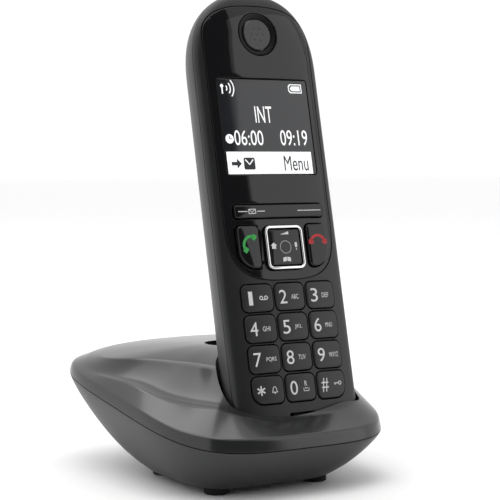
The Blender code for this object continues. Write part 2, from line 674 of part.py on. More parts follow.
def build_handset_inside(frame):
    """Display module, boards, cells, speakers and contacts inside the handset."""
    lcd_half = DISPLAY_WIDTH / 2 + LCD_MARGIN
    lcd_low = DISPLAY_CENTRE - DISPLAY_HEIGHT / 2 - LCD_MARGIN
    lcd_high = DISPLAY_CENTRE + DISPLAY_HEIGHT / 2 + LCD_MARGIN
    part("lcd_module", box((-lcd_half, LCD_TOP, lcd_low), (lcd_half, LCD_TOP + LCD_THICKNESS, lcd_high)),
         DISPLAY_GLASS, frame, (0.0, LCD_TOP, DISPLAY_CENTRE))

    mat_low = KEY_LOWEST_ROW - KEY_HEIGHT / 2 + 0.2
    mat_high = SOFTKEY_CENTRE + SOFTKEY_HEIGHT / 2 + 1.0
    mat_outline = rounded(BOARD_WIDTH - 2.0, mat_high - mat_low, (3.0,) * 4, (0.0, (mat_low + mat_high) / 2))
    part("keypad_mat", prism(mat_outline, MAT_TOP, MAT_TOP + MAT_THICKNESS), SILICONE, frame)

    board_middle = (0.0, (BOARD_LOW + BOARD_HIGH) / 2)
    board_outline = rounded(BOARD_WIDTH, BOARD_HIGH - BOARD_LOW, (4.0,) * 4, board_middle)
    part("handset_board", prism(board_outline, BOARD_TOP, BOARD_TOP + BOARD_THICKNESS), BOARD_GREEN, frame)
    half = ANTENNA_WIDTH / 2
    antenna_front = BOARD_TOP + 2.0
    antenna_low = BOARD_HIGH + 1.0
    antenna = box((-half, antenna_front, antenna_low),
                  (half, antenna_front + CONTACT_THICKNESS, antenna_low + ANTENNA_HEIGHT))
    part("handset_antenna", antenna, SPRING_STEEL, frame)

    ear = (0.0, 0.0, EARPIECE_CENTRE)
    speaker_top = FRONT_WALL + GAP
    speaker = rod(ear, SPEAKER_RADIUS, speaker_top, speaker_top + SPEAKER_THICKNESS, "y")
    soften(part("earpiece_speaker", speaker, SPEAKER_METAL, frame), 0.4, 1)
    ringer_top = BOARD_TOP + BOARD_THICKNESS + GAP
    ringer = rod((0.0, 0.0, RINGER_CENTRE), RINGER_RADIUS, ringer_top, ringer_top + RINGER_THICKNESS, "y")
    soften(part("ringer_speaker", ringer, SPEAKER_METAL, frame), 0.5, 1)
    mic_top = FRONT_WALL + GAP
    mic = rod((0.0, 0.0, MIC_CENTRE + 0.6), MIC_RADIUS, mic_top, mic_top + MIC_THICKNESS, "y", 24)
    part("microphone", mic, SPEAKER_METAL, frame)

    for side, name in ((-1, "battery_cell_left"), (1, "battery_cell_right")):
        across = side * CELL_SPACING / 2
        can_top = CELL_LOW + CELL_LENGTH - CELL_TIP
        cell = rod((across, CELL_DEPTH, 0.0), CELL_RADIUS, CELL_LOW, can_top)
        made = part(name, cell, CELL_SLEEVE, frame, (across, CELL_DEPTH, CELL_LOW))
        middle = (across, CELL_DEPTH, 0.0)
        button = rod(middle, CELL_TIP_RADIUS, can_top - CELL_TIP / 2, can_top + CELL_TIP, "z", 16)
        tip = cutter(f"add_tip_{side + 1}", button, frame)
        combine(made, tip, "UNION")
        plate_half = CONTACT_WIDTH / 2
        gap_high = CELL_LOW + CELL_LENGTH + GAP
        plus = box((across - plate_half, CELL_DEPTH - plate_half, gap_high),
                   (across + plate_half, CELL_DEPTH + plate_half, gap_high + CONTACT_THICKNESS))
        minus = box((across - plate_half, CELL_DEPTH - plate_half, CELL_LOW - GAP - CONTACT_THICKNESS),
                    (across + plate_half, CELL_DEPTH + plate_half, CELL_LOW - GAP))
        word = name.rsplit("_", 1)[-1]
        part(f"cell_plus_plate_{word}", plus, SPRING_STEEL, frame)
        part(f"cell_minus_plate_{word}", minus, SPRING_STEEL, frame)

        pad = box((side * PAD_SPREAD - PAD_WIDTH / 2, PAD_PLACE - PAD_DEPTH / 2, GAP * 2),
                  (side * PAD_SPREAD + PAD_WIDTH / 2, PAD_PLACE + PAD_DEPTH / 2, GAP * 2 + PAD_THICKNESS))
        part(f"charge_pad_{word}", pad, SPRING_STEEL, frame)


# --------------------------------------------------------------------------- base

def around(controls, angle, column=1):
    """Smooth closed curve through control values at rising angles in degrees."""
    count = len(controls)
    after = next((place for place, item in enumerate(controls) if item[0] > angle), count)
    angles, values = [], []
    for step in (-2, -1, 0, 1):
        turns, place = divmod(after + step, count)
        angles.append(controls[place][0] + 360.0 * turns)
        values.append(controls[place][column])
    span = angles[2] - angles[1]
    share = (angle - angles[1]) / span
    slope_in = (values[2] - values[0]) / (angles[2] - angles[0]) * span
    slope_out = (values[3] - values[1]) / (angles[3] - angles[1]) * span
    square_share, cube_share = share ** 2, share ** 3
    return (
        (2 * cube_share - 3 * square_share + 1) * values[1]
        + (cube_share - 2 * square_share + share) * slope_in
        + (3 * square_share - 2 * cube_share) * values[2] + (cube_share - square_share) * slope_out
    )


def outline_point(angle, half_width, half_depth, flare):
    """Point of a flared superellipse in a direction from its middle."""
    across, along = math.cos(angle), math.sin(angle)
    reach = half_depth
    for _ in range(6):
        wide = half_width * (1 + flare * reach * along / half_depth)
        reach = (abs(across / wide) ** BASE_ROUNDNESS + abs(along / half_depth) ** BASE_ROUNDNESS) \
            ** (-1 / BASE_ROUNDNESS)
    return Vector((reach * across, reach * along))


def seam_height(along):
    """Height of the sloping seam between the two base shells."""
    return SEAM_FRONT + SEAM_SLOPE * (along + BASE_DEPTH / 2)


def shrink(point, inset):
    """Move a plan point towards the middle."""
    return point * max(1 - inset / point.length, 0.02)


def top_ring(level, inset, drop):
    """One closed ring of the upper shell; level 0 is the seam and 1 the middle of the dome."""
    ring = []
    for index in range(RING_POINTS):
        angle = 2 * math.pi * index / RING_POINTS - math.pi
        degrees = math.degrees(angle)
        edge = outline_point(angle, BASE_WIDTH / 2, BASE_DEPTH / 2, BASE_FLARE)
        outer = shrink(edge, inset)
        seam = seam_height(outer.y)
        rear_share = (edge.y + BASE_DEPTH / 2) / BASE_DEPTH
        band = BAND_HEIGHT + (BAND_REAR_HEIGHT - BAND_HEIGHT) * rear_share
        crest = shrink(outer, around(CREST, degrees, 1))
        crest_height = around(CREST, degrees, 2) - drop
        crease = shrink(outer, around(CREASE, degrees, 1))
        crease_height = around(CREASE, degrees, 2) - drop
        if level == "seam":
            spot, height = outer, seam
        elif level == "below seam":
            spot, height = outer, seam - 3.0
        elif level == "floor":
            spot, height = shrink(outer, inset), UNDERSIDE - 2.0
        elif level == "band":
            spot, height = shrink(outer, BAND_INSET), seam_height(edge.y) + band - drop
        elif level <= 1.0:
            spot, height = crest.lerp(crease, level), crest_height
            scoop = around(SCOOP, degrees)
            bend = level ** (math.log(scoop) / math.log(0.5))
            height += (crease_height - crest_height) * bend
        else:
            share = 2.0 - level
            spot = crease * share
            height = crease_height + (DOME_HEIGHT - drop - crease_height) * (1 - share ** 2)
        ring.append((spot.x, spot.y, height))
    return ring


def top_body(first, inset, drop):
    """Solid under the upper shell's surface, moved in and down by an inset and a drop."""
    levels = [first, "band", 0.0, 0.3, 0.65, 1.0, 1.35, 1.75]
    return loft([top_ring(level, inset, drop) for level in levels])


def lower_ring(fall, inset, lift):
    """One closed ring of the lower shell; fall 0 is the seam and 1 the underside."""
    ring = []
    for index in range(RING_POINTS):
        angle = 2 * math.pi * index / RING_POINTS
        upper = shrink(outline_point(angle, BASE_WIDTH / 2, BASE_DEPTH / 2, BASE_FLARE), inset)
        lower = shrink(outline_point(angle, FOOT_WIDTH / 2, FOOT_DEPTH / 2, 0.0), inset)
        lower += Vector((FOOT_SHIFT_X, FOOT_SHIFT_Y))
        draw_in = 0.8 * fall ** 1.25 + 0.2 * fall ** 6
        spot = upper.lerp(lower, draw_in)
        seam = seam_height(upper.y) - GAP
        height = seam + (UNDERSIDE + lift - seam) * fall
        ring.append((spot.x, spot.y, height))
    return ring


def lower_body(inset, lift, raise_top):
    """Solid of the lower shell, or of its inside when it is inset and lifted."""
    falls = (0.0, 0.22, 0.46, 0.70, 0.87, 0.95, 1.0)
    rings = [lower_ring(fall, inset, lift) for fall in falls]
    if raise_top:
        rings.insert(0, [(x, y, z + raise_top) for x, y, z in rings[0]])
    return loft(rings[::-1])


def well_body(grow, floor):
    """The handset's bottom end grown all round and drawn straight up, with a flat floor."""
    bends = [BOTTOM_REACH * (1 - math.cos(math.radians(turn))) - grow for turn in (34, 48, 62, 76, 90)]
    heights = [floor] + [height for height in bends if height > floor + GAP] + [HANDSET_LENGTH * 0.55]
    return loft([handset_section(height, -grow) for height in heights])


SCREW_SPOTS = (
    (FOOT_SHIFT_X - FOOT_WIDTH / 2 + 7.0, FOOT_SHIFT_Y),
    (FOOT_SHIFT_X - FOOT_WIDTH / 2 + 16.5, FOOT_SHIFT_Y + FOOT_DEPTH / 2 - 3.5),
)


def foot_spots():
    """Centres of the four rubber feet."""
    reach_x = FOOT_WIDTH / 2 - FOOT_CORNER_INSET
    reach_y = FOOT_DEPTH / 2 - FOOT_CORNER_INSET
    corners = [(side, end) for end in (-1, 1) for side in (-1, 1)]
    return [(FOOT_SHIFT_X + side * reach_x, FOOT_SHIFT_Y + end * reach_y) for side, end in corners]


def build_base(frame):
    """Both base shells, cradle, feet, button, board, sockets, charging springs and screws."""
    build_top_shell(frame)
    build_bottom_shell()
    build_base_inside()
    build_charging_springs(frame)


def build_top_shell(frame):
    """Upper shell: a band, a sloping collar, a scoop and a dome, with the cradle well let in."""
    shell = part("base_top_shell", top_body("seam", 0.0, 0.0), BASE_GLOSS)
    cut(shell, cutter("cut_base_top_inside", top_body("below seam", BASE_WALL, BASE_WALL)))

    inside = cutter("keep_under_surface", top_body("floor", BASE_WALL * 0.6, BASE_WALL * 0.4))
    well = cutter("add_well", well_body(WELL_CLEARANCE + WELL_WALL, -GAP - WELL_WALL), frame)
    combine(well, inside, "INTERSECT")
    combine(shell, well, "UNION")
    for number, (across, along) in enumerate(SCREW_SPOTS):
        post = cutter(f"add_boss_{number}", rod(
            (across, along, 0.0), BOSS_RADIUS, UNDERSIDE + BASE_WALL + BOSS_FOOT_GAP, 60.0, "z", 20))
        combine(post, inside, "INTERSECT")
        combine(shell, post, "UNION")
        bore_top = UNDERSIDE + BASE_WALL + SCREW_LENGTH + 2.0
        bore = rod((across, along, 0.0), SCREW_HOLE_RADIUS, 0.0, bore_top, "z", 16)
        cut(shell, cutter(f"cut_boss_{number}", bore))

    cut(shell, cutter("cut_well", well_body(WELL_CLEARANCE, -GAP), frame))
    for side in (-1, 1):
        half_wide = SPRING_WIDTH / 2 + KEY_GAP
        half_deep = SPRING_THICKNESS / 2 + KEY_GAP
        low = (side * PAD_SPREAD - half_wide, PAD_PLACE - half_deep, -5.0)
        high = (side * PAD_SPREAD + half_wide, PAD_PLACE + half_deep, 1.0)
        cut(shell, cutter(f"cut_spring_slot_{side + 1}", box(low, high), frame))
    button_hole = rod((BUTTON_X, BUTTON_Y, 0.0), BUTTON_RADIUS + KEY_GAP, DOME_HEIGHT - 8.0, 60.0)
    cut(shell, cutter("cut_button_hole", button_hole))


def build_bottom_shell():
    """Lower shell: a bowl drawn in to a small flat underside, with socket windows at the rear."""
    shell = part("base_bottom_shell", lower_body(0.0, 0.0, 0.0), BASE_SATIN)
    cut(shell, cutter("cut_bottom_inside", lower_body(BASE_WALL, BASE_WALL, 6.0)))
    for number, (across, along) in enumerate(foot_spots()):
        recess = rod((across, along, 0.0), RUBBER_FOOT_RADIUS + GAP, 0.0, UNDERSIDE + RUBBER_FOOT_RECESS)
        cut(shell, cutter(f"cut_foot_{number}", recess))
        foot = rod((across, along, 0.0), RUBBER_FOOT_RADIUS, 0.0, UNDERSIDE + RUBBER_FOOT_RECESS - GAP)
        made = part(f"rubber_foot_{number + 1}", foot, BLACK_RUBBER, None, (across, along, 0.0))
        soften(made, 0.4, 1)
    for number, (across, along) in enumerate(SCREW_SPOTS):
        bore = rod((across, along, 0.0), SCREW_HOLE_RADIUS, 0.0, 9.0, "z", 16)
        head_top = UNDERSIDE + SCREW_HEAD_HEIGHT + GAP
        head = rod((across, along, 0.0), SCREW_HEAD_RADIUS + GAP, 0.0, head_top, "z", 20)
        cut(shell, cutter(f"cut_screw_{number}", bore), cutter(f"cut_screw_head_{number}", head))
        build_screw(f"base_screw_{number + 1}", across, along)
    for side in (-1, 1):
        half = JACK_WIDTH / 2 + GAP
        across = side * JACK_SPREAD
        low = (across - half, JACK_MOUTH_Y - JACK_DEPTH - GAP, BASE_BOARD_Z - GAP - JACK_HEIGHT - GAP)
        high = (across + half, BASE_DEPTH, BASE_BOARD_Z)
        cut(shell, cutter(f"cut_jack_window_{side + 1}", box(low, high)))


def build_screw(name, across, along):
    """A pan-head screw pointing up into its boss, turned from one profile."""
    low = UNDERSIDE + GAP / 3
    neck = low + SCREW_HEAD_HEIGHT
    top = UNDERSIDE + BASE_WALL + SCREW_LENGTH
    profile = [(0.0, top), (SCREW_RADIUS * 0.5, top), (SCREW_RADIUS, top - 0.8), (SCREW_RADIUS, neck),
               (SCREW_HEAD_RADIUS, neck), (SCREW_HEAD_RADIUS, low), (0.0, low)]
    turned(name, profile, SCREW_STEEL, (across, along, 0.0), 16)


def turned(name, profile, material, origin, steps=ROUND_STEPS):
    """Spin a profile, listed from top to bottom on its outer side, about the vertical axis."""
    shape = bmesh.new()
    points = [shape.verts.new((radius * MM, 0.0, height * MM)) for radius, height in profile]
    for upper, lower in zip(points, points[1:]):
        shape.edges.new((upper, lower))
    mesh = bpy.data.meshes.new(name)
    shape.to_mesh(mesh)
    shape.free()
    made = bpy.data.objects.new(name, mesh)
    made.location = Vector(origin) * MM
    PHONE.objects.link(made)
    made.data.materials.append(material)
    spin = made.modifiers.new("turned", "SCREW")
    spin.steps = steps
    spin.render_steps = steps
    spin.use_merge_vertices = True
    spin.merge_threshold = 0.00001
    spin.use_smooth_shade = False
    return made


def build_base_inside():
    """Board, sockets, antenna and the paging button."""
    half = BASE_BOARD_WIDTH / 2
    board_outline = rounded(BASE_BOARD_WIDTH, BASE_BOARD_DEPTH, (3.0,) * 4, (0.0, BASE_BOARD_Y))
    board = prism(board_outline, BASE_BOARD_Z, BASE_BOARD_Z + BASE_BOARD_THICKNESS, "z")
    part("base_board", board, BOARD_GREEN)
    board_top = BASE_BOARD_Z + BASE_BOARD_THICKNESS + GAP
    rear = BASE_BOARD_Y + BASE_BOARD_DEPTH / 2
    part("base_antenna", box((-half * 0.5, rear - 5.0, board_top), (half * 0.5, rear - 4.5, board_top + 6.0)),
         SPRING_STEEL)

    top = BASE_BOARD_Z - GAP
    for side, name in ((-1, "power_socket"), (1, "line_socket")):
        across = side * JACK_SPREAD
        body = box((across - JACK_WIDTH / 2, JACK_MOUTH_Y - JACK_DEPTH, top - JACK_HEIGHT),
                   (across + JACK_WIDTH / 2, JACK_MOUTH_Y, top))
        middle = top - JACK_HEIGHT / 2
        port_half = JACK_PORT_WIDTH / 2
        port_back = JACK_MOUTH_Y - JACK_PORT_DEPTH
        port = box((across - port_half, port_back, middle - JACK_PORT_HEIGHT / 2),
                   (across + port_half, JACK_MOUTH_Y + 5.0, middle + JACK_PORT_HEIGHT / 2))
        made = part(name, body, JACK_PLASTIC, None, (across, JACK_MOUTH_Y, middle))
        cut(made, cutter(f"cut_port_{name}", port))

    cap_top = DOME_HEIGHT - BUTTON_SINK
    cap_low = cap_top - BUTTON_CAP
    dish = 0.5
    profile = [
        (0.0, cap_top - dish), (BUTTON_RADIUS * 0.55, cap_top - dish * 0.7), (BUTTON_RADIUS - 0.5, cap_top),
        (BUTTON_RADIUS, cap_top - 0.4), (BUTTON_RADIUS, cap_low), (BUTTON_RADIUS + BUTTON_FLANGE, cap_low),
        (BUTTON_RADIUS + BUTTON_FLANGE, cap_low - 1.0), (2.0, cap_low - 1.0),
        (2.0, board_top + KEY_TRAVEL + GAP), (0.0, board_top + KEY_TRAVEL + GAP),
    ]
    turned("paging_button", profile, JACK_PLASTIC, (BUTTON_X, BUTTON_Y, 0.0))


def build_charging_springs(frame):
    """Two bent contact blades that reach up through the floor of the cradle."""
    for side, word in ((-1, "left"), (1, "right")):
        across = side * PAD_SPREAD
        half = SPRING_WIDTH / 2
        thick = SPRING_THICKNESS / 2
        floor = -GAP - WELL_WALL
        foot_low = floor - GAP - SPRING_TRAVEL - 1.0
        outline = [
            (PAD_PLACE - thick, foot_low), (PAD_PLACE + thick + SPRING_TAIL, foot_low),
            (PAD_PLACE + thick + SPRING_TAIL, foot_low + SPRING_FOOT),
            (PAD_PLACE + thick, foot_low + SPRING_FOOT),
            (PAD_PLACE + thick, GAP * 0.4), (PAD_PLACE, GAP), (PAD_PLACE - thick, GAP * 0.4),
        ]
        shape = bmesh.new()
        face = shape.faces.new([shape.verts.new((across - half, along, up)) for along, up in outline])
        grown = bmesh.ops.extrude_face_region(shape, geom=[face])
        moved = [item for item in grown["geom"] if isinstance(item, bmesh.types.BMVert)]
        bmesh.ops.translate(shape, verts=moved, vec=(SPRING_WIDTH, 0.0, 0.0))
        part(f"charge_spring_{word}", shape, SPRING_STEEL, frame, (across, PAD_PLACE, 0.0))


def main():
    """Place the leaned handset frame, then build the handset and the base round it."""
    frame = bpy.data.objects.new("handset_frame", None)
    frame.location = Vector((HANDSET_X, HANDSET_Y, SEAT_HEIGHT)) * MM
    frame.rotation_euler = (-LEAN, 0.0, 0.0)
    PHONE.objects.link(frame)
    build_handset(frame)
    build_base(frame)


main()
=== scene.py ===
"""Looks of a cordless telephone handset standing in its charging base.

Shapes are worked out in millimetres and turned to metres where a mesh becomes a piece.
World axes: +Z up, the keypad faces -Y, and the origin is on the table under the base.
Handset pieces are drawn in the handset's own frame, leaned back in the cradle: x runs across
the keypad, y goes into the handset from its front face, and z climbs from its bottom end.
"""

import json
import logging
import math
from dataclasses import dataclass, field
from enum import Enum
from typing import Iterable, Sequence

import bmesh
import bpy
from mathutils import Matrix, Vector


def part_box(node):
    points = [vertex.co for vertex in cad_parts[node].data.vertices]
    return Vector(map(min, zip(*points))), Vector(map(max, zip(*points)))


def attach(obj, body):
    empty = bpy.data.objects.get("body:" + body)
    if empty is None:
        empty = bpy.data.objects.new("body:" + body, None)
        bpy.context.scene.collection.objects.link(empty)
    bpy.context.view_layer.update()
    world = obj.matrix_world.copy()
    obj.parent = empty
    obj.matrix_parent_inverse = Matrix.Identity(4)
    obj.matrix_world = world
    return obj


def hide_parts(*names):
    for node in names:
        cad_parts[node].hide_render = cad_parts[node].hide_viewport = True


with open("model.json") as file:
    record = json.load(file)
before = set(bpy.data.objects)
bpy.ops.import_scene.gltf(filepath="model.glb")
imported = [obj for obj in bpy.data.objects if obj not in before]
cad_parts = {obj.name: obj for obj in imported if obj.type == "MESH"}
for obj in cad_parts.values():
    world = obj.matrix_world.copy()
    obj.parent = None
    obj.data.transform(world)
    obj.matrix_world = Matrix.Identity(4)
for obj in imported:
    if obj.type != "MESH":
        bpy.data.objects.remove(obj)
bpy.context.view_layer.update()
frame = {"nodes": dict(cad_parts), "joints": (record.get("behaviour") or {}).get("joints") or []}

MM = 0.001
PRINT_THICKNESS = 0.08      # printed and lit figures
PRINT_LIFT = 0.02           # figures stand this far off what they are on
STRIP_LIFT = 0.03           # each layer of the display's strip over the last
SHARP_TURN = 32.0           # edges that turn more than this, in degrees, stay sharp
WELD = 1e-4                 # vertices nearer than this are one
CUT_AHEAD = 0.6             # how far a cut through the front runs past its back
BEYOND = 60.0               # past the back of the handset or the top of the base
LOG = logging.getLogger("telephone")

Point = tuple[float, float]
Colour = tuple[float, float, float]
Shape = bmesh.types.BMesh


class Axis(Enum):
    """Direction along which an outline is thickened."""

    INTO_HANDSET = "y"
    UP = "z"


class Cut(Enum):
    """How a tool changes a solid."""

    TAKE_AWAY = "DIFFERENCE"
    ADD = "UNION"
    KEEP_COMMON = "INTERSECT"


# --------------------------------------------------------------------------- shader maths

class Wire:
    """A shader socket that can be used in sums."""

    def __init__(self, shader: "Shader", socket: bpy.types.NodeSocket) -> None:
        """Keep the socket with the shader it belongs to."""
        self.shader = shader
        self.socket = socket

    def __add__(self, other: "Wire | float") -> "Wire":
        """Sum of two values."""
        return self.shader.maths("ADD", self, other)

    def __radd__(self, other: float) -> "Wire":
        """Sum with a plain number on the left."""
        return self.shader.maths("ADD", other, self)

    def __sub__(self, other: "Wire | float") -> "Wire":
        """Difference of two values."""
        return self.shader.maths("SUBTRACT", self, other)

    def __rsub__(self, other: float) -> "Wire":
        """Difference with a plain number on the left."""
        return self.shader.maths("SUBTRACT", other, self)

    def __mul__(self, other: "Wire | float") -> "Wire":
        """Product of two values."""
        return self.shader.maths("MULTIPLY", self, other)

    def __rmul__(self, other: float) -> "Wire":
        """Product with a plain number on the left."""
        return self.shader.maths("MULTIPLY", other, self)


class Shader:
    """Builds the node tree of one material."""

    def __init__(self, name: str) -> None:
        """Start a material with its Principled node and object coordinates."""
        self.material = bpy.data.materials.new(name)
        self.material.use_nodes = True
        self.tree = self.material.node_tree
        self.surface = self.tree.nodes["Principled BSDF"]
        self.place = self.node("ShaderNodeTexCoord", {}, {})["Object"]

    def node(self, kind: str, settings: dict, values: dict) -> dict[str, Wire]:
        """Add a node.

        Args:
            kind: the node's type.
            settings: attributes set first.
            values: a number, colour or Wire for each input, by name or place.

        Returns:
            The node's outputs by name.
        """
        made = self.tree.nodes.new(kind)
        for key, value in settings.items():
            setattr(made, key, value)
        for key, value in values.items():
            self.feed(made.inputs[key], value)
        return {socket.name: Wire(self, socket) for socket in made.outputs if socket.enabled}

    def feed(self, socket: bpy.types.NodeSocket, value: "Wire | float | Sequence[float]") -> None:
        """Link a wire to an input, or set the input to a constant."""
        if isinstance(value, Wire):
            self.tree.links.new(value.socket, socket)
        else:
            socket.default_value = value

    def maths(self, operation: str, left: "Wire | float", right: "Wire | float") -> Wire:
        """One Math node on two values."""
        return self.node("ShaderNodeMath", {"operation": operation}, {0: left, 1: right})["Value"]

    def noise(self, size: float, detail: float = 2.0) -> Wire:
        """Noise whose features are about a size in millimetres."""
        values = {"Vector": self.place, "Scale": 1.0 / (size * MM), "Detail": detail}
        return next(iter(self.node("ShaderNodeTexNoise", {}, values).values()))

    def blend(self, share: Wire, low: Colour, high: Colour) -> Wire:
        """A colour between two, by a share."""
        made = self.tree.nodes.new("ShaderNodeMix")
        made.data_type = "RGBA"
        colours = [socket for socket in made.inputs if socket.type == "RGBA"]
        factor = next(socket for socket in made.inputs if socket.type == "VALUE")
        self.feed(factor, share)
        self.feed(colours[0], (*low, 1.0))
        self.feed(colours[1], (*high, 1.0))
        return Wire(self, next(socket for socket in made.outputs if socket.type == "RGBA"))

    def bump(self, height: Wire, rise: float) -> Wire:
        """Normals from a height, where 1 stands for a rise in millimetres."""
        values = {"Strength": 1.0, "Distance": rise * MM, "Height": height}
        return self.node("ShaderNodeBump", {}, values)["Normal"]

    def put(self, name: str, value: "Wire | float | Sequence[float]") -> None:
        """Set or feed an input of the Principled node."""
        self.feed(self.surface.inputs[name], value)


@dataclass(frozen=True)
class Plastic:
    """Moulded plastic: a base colour with faint mottling, a fine grain and uneven gloss."""

    name: str
    colour: Colour
    roughness: float
    grain_size: float = 0.35
    grain_rise: float = 0.006
    mottle: float = 0.10
    smudge: float = 0.06
    coat: float = 0.0
    specular: float = 0.5

    def material(self) -> bpy.types.Material:
        """Build the material."""
        shader = Shader(self.name)
        cloud = shader.noise(14.0, 3.0)
        grain = shader.noise(self.grain_size, 2.0)
        low = tuple(part * (1.0 - self.mottle) for part in self.colour)
        high = tuple(part * (1.0 + self.mottle) for part in self.colour)
        shader.put("Base Color", shader.blend(0.6 * cloud + 0.4 * grain, low, high))
        shader.put("Roughness", self.roughness + self.smudge * (cloud - 0.5))
        shader.put("Normal", shader.bump(grain, self.grain_rise))
        shader.put("Coat Weight", self.coat)
        shader.put("Coat Roughness", 0.04)
        shader.put("Specular IOR Level", self.specular)
        return shader.material


@dataclass(frozen=True)
class Metal:
    """Plated or drawn metal with fine wear in its gloss."""

    name: str
    colour: Colour
    roughness: float
    wear: float = 0.08

    def material(self) -> bpy.types.Material:
        """Build the material."""
        shader = Shader(self.name)
        scratches = shader.noise(0.8, 4.0)
        cloud = shader.noise(6.0, 2.0)
        worn = tuple(part * 0.88 for part in self.colour)
        shader.put("Base Color", shader.blend(cloud, worn, self.colour))
        shader.put("Metallic", 1.0)
        shader.put("Roughness", self.roughness + self.wear * scratches)
        shader.put("Normal", shader.bump(scratches, 0.002))
        return shader.material


@dataclass(frozen=True)
class Ink:
    """Printed or lit figures."""
    # Printed or lit figures; glow lights the display's figures, and on the green and red print it is a
    # painted glow.

    name: str
    colour: Colour
    glow: float = 0.0

    def material(self) -> bpy.types.Material:
        """Build the material."""
        shader = Shader(self.name)
        fleck = shader.noise(0.3, 2.0)
        faded = tuple(part * 0.9 for part in self.colour)
        shader.put("Base Color", shader.blend(fleck, faded, self.colour))
        shader.put("Roughness", 0.45 + 0.1 * fleck)
        # Emission: the display's own light for its lit figures, a painted glow for the green and red print.
        if self.glow:
            shader.put("Emission Color", shader.blend(fleck, faded, self.colour))
            shader.put("Emission Strength", self.glow)
        return shader.material


@dataclass(frozen=True)
class CircuitBoard:
    """Green laminate with paler tracks."""

    name: str = "board_laminate"

    def material(self) -> bpy.types.Material:
        """Build the material."""
        shader = Shader(self.name)
        values = {"Vector": shader.place, "Scale": 1.0 / (2.2 * MM)}
        cells = shader.node("ShaderNodeTexVoronoi", {"distance": "CHEBYCHEV"}, values)["Distance"]
        track = shader.maths("GREATER_THAN", cells, 0.42)
        shader.put("Base Color", shader.blend(track, (0.010, 0.075, 0.030), (0.030, 0.160, 0.060)))
        shader.put("Roughness", 0.42 + 0.1 * shader.noise(1.5))
        shader.put("Normal", shader.bump(track, 0.03))
        return shader.material


class Finish(Enum):
    """Every finish on the telephone."""

    SHELL = Plastic("matte_shell", (0.013, 0.0133, 0.0136), 0.40, 0.30, 0.006, specular=0.4)
    REAR = Plastic("satin_shell", (0.022, 0.0225, 0.023), 0.38, 0.30, 0.008)
    PANEL = Plastic("gloss_panel_plastic", (0.0075, 0.0075, 0.0085), 0.05, 0.5, 0.0003, 0.05, 0.02,
                    specular=0.38)
    KEY = Plastic("key_cap_plastic", (0.015, 0.0153, 0.0156), 0.40, 0.28, 0.006, specular=0.42)
    GAP_DARK = Plastic("dark_lining", (0.004, 0.004, 0.004), 0.5, specular=0.2)
    SCREEN = Plastic("screen_glass", (0.017, 0.018, 0.021), 0.07, 0.4, 0.0002, 0.03, 0.02, specular=0.5)
    EAR = Plastic("earpiece_plate", (0.020, 0.0205, 0.0215), 0.22, 0.3, 0.001)
    BASE_TOP = Plastic("base_top_plastic", (0.018, 0.0185, 0.019), 0.20, 0.4, 0.0006, 0.05, 0.02, 0.10)
    BASE_LOW = Plastic("base_low_plastic", (0.020, 0.0205, 0.021), 0.40, 0.35, 0.004)
    BUTTON = Plastic("button_plastic", (0.018, 0.018, 0.020), 0.36, 0.3, 0.006)
    RUBBER = Plastic("foot_rubber", (0.010, 0.010, 0.010), 0.85, 0.5, 0.03, 0.2, 0.05, 0.0, 0.25)
    SILICONE = Plastic("keypad_silicone", (0.05, 0.052, 0.055), 0.62, 0.6, 0.01)
    SOCKET = Plastic("socket_plastic", (0.014, 0.014, 0.015), 0.5, 0.5, 0.01)
    SLEEVE = Plastic("cell_sleeve_film", (0.05, 0.26, 0.11), 0.26, 0.8, 0.002, 0.12)
    CHROME = Metal("bright_trim", (0.80, 0.80, 0.81), 0.08, 0.06)
    SPRING = Metal("contact_metal", (0.66, 0.62, 0.52), 0.22)
    STEEL = Metal("plain_steel", (0.46, 0.46, 0.47), 0.32)
    SPEAKER = Metal("speaker_can", (0.36, 0.36, 0.37), 0.34)
    WHITE_PRINT = Ink("white_print", (0.72, 0.72, 0.72))
    FAINT_PRINT = Ink("faint_print", (0.40, 0.40, 0.41))
    # Green and red print: printed colour with a faint painted glow added as emission.
    GREEN_PRINT_PAINTED_GLOW = Ink("green_print_painted_glow", (0.02, 0.34, 0.05), 0.05)
    RED_PRINT_PAINTED_GLOW = Ink("red_print_painted_glow", (0.45, 0.015, 0.02), 0.05)
    LIT = Ink("lit_figures", (0.86, 0.87, 0.88), 0.55)
    UNLIT = Ink("unlit_figures", (0.016, 0.017, 0.020))
    BOARD = CircuitBoard()


class Paints:
    """Materials made once for each finish."""

    def __init__(self) -> None:
        """Start with none made."""
        self.made: dict[Finish, bpy.types.Material] = {}

    def get(self, finish: Finish) -> bpy.types.Material:
        """The material of a finish."""
        if finish not in self.made:
            self.made[finish] = finish.value.material()
        return self.made[finish]


PAINTS = Paints()


# --------------------------------------------------------------------------- mesh making

def loft(sections: Sequence[Sequence[Sequence[float]]]) -> Shape:
    """Solid that passes through closed sections with the same number of points.

    Args:
        sections: rings of points, each in the same turning order.

    Returns:
        A closed shape grown from the first section by extruding its face.
    """
    shape = bmesh.new()
    face = shape.faces.new([shape.verts.new(point) for point in sections[0]])
    for place, section in enumerate(sections[1:]):
        covered = face
        grown = bmesh.ops.extrude_face_region(shape, geom=[covered])
        face = next(item for item in grown["geom"] if isinstance(item, bmesh.types.BMFace))
        if place and covered.is_valid:
            bmesh.ops.delete(shape, geom=[covered], context="FACES_ONLY")
        for vertex, point in zip(face.verts, section):
            vertex.co = point
    bmesh.ops.recalc_face_normals(shape, faces=shape.faces)
    return shape


def prism(outline: Sequence[Point], low: float, high: float, axis: Axis = Axis.INTO_HANDSET) -> Shape:
    """Outline thickened between two levels along an axis."""
    if axis is Axis.INTO_HANDSET:
        return loft([[(across, level, up) for across, up in outline] for level in (low, high)])
    return loft([[(across, along, level) for across, along in outline] for level in (low, high)])


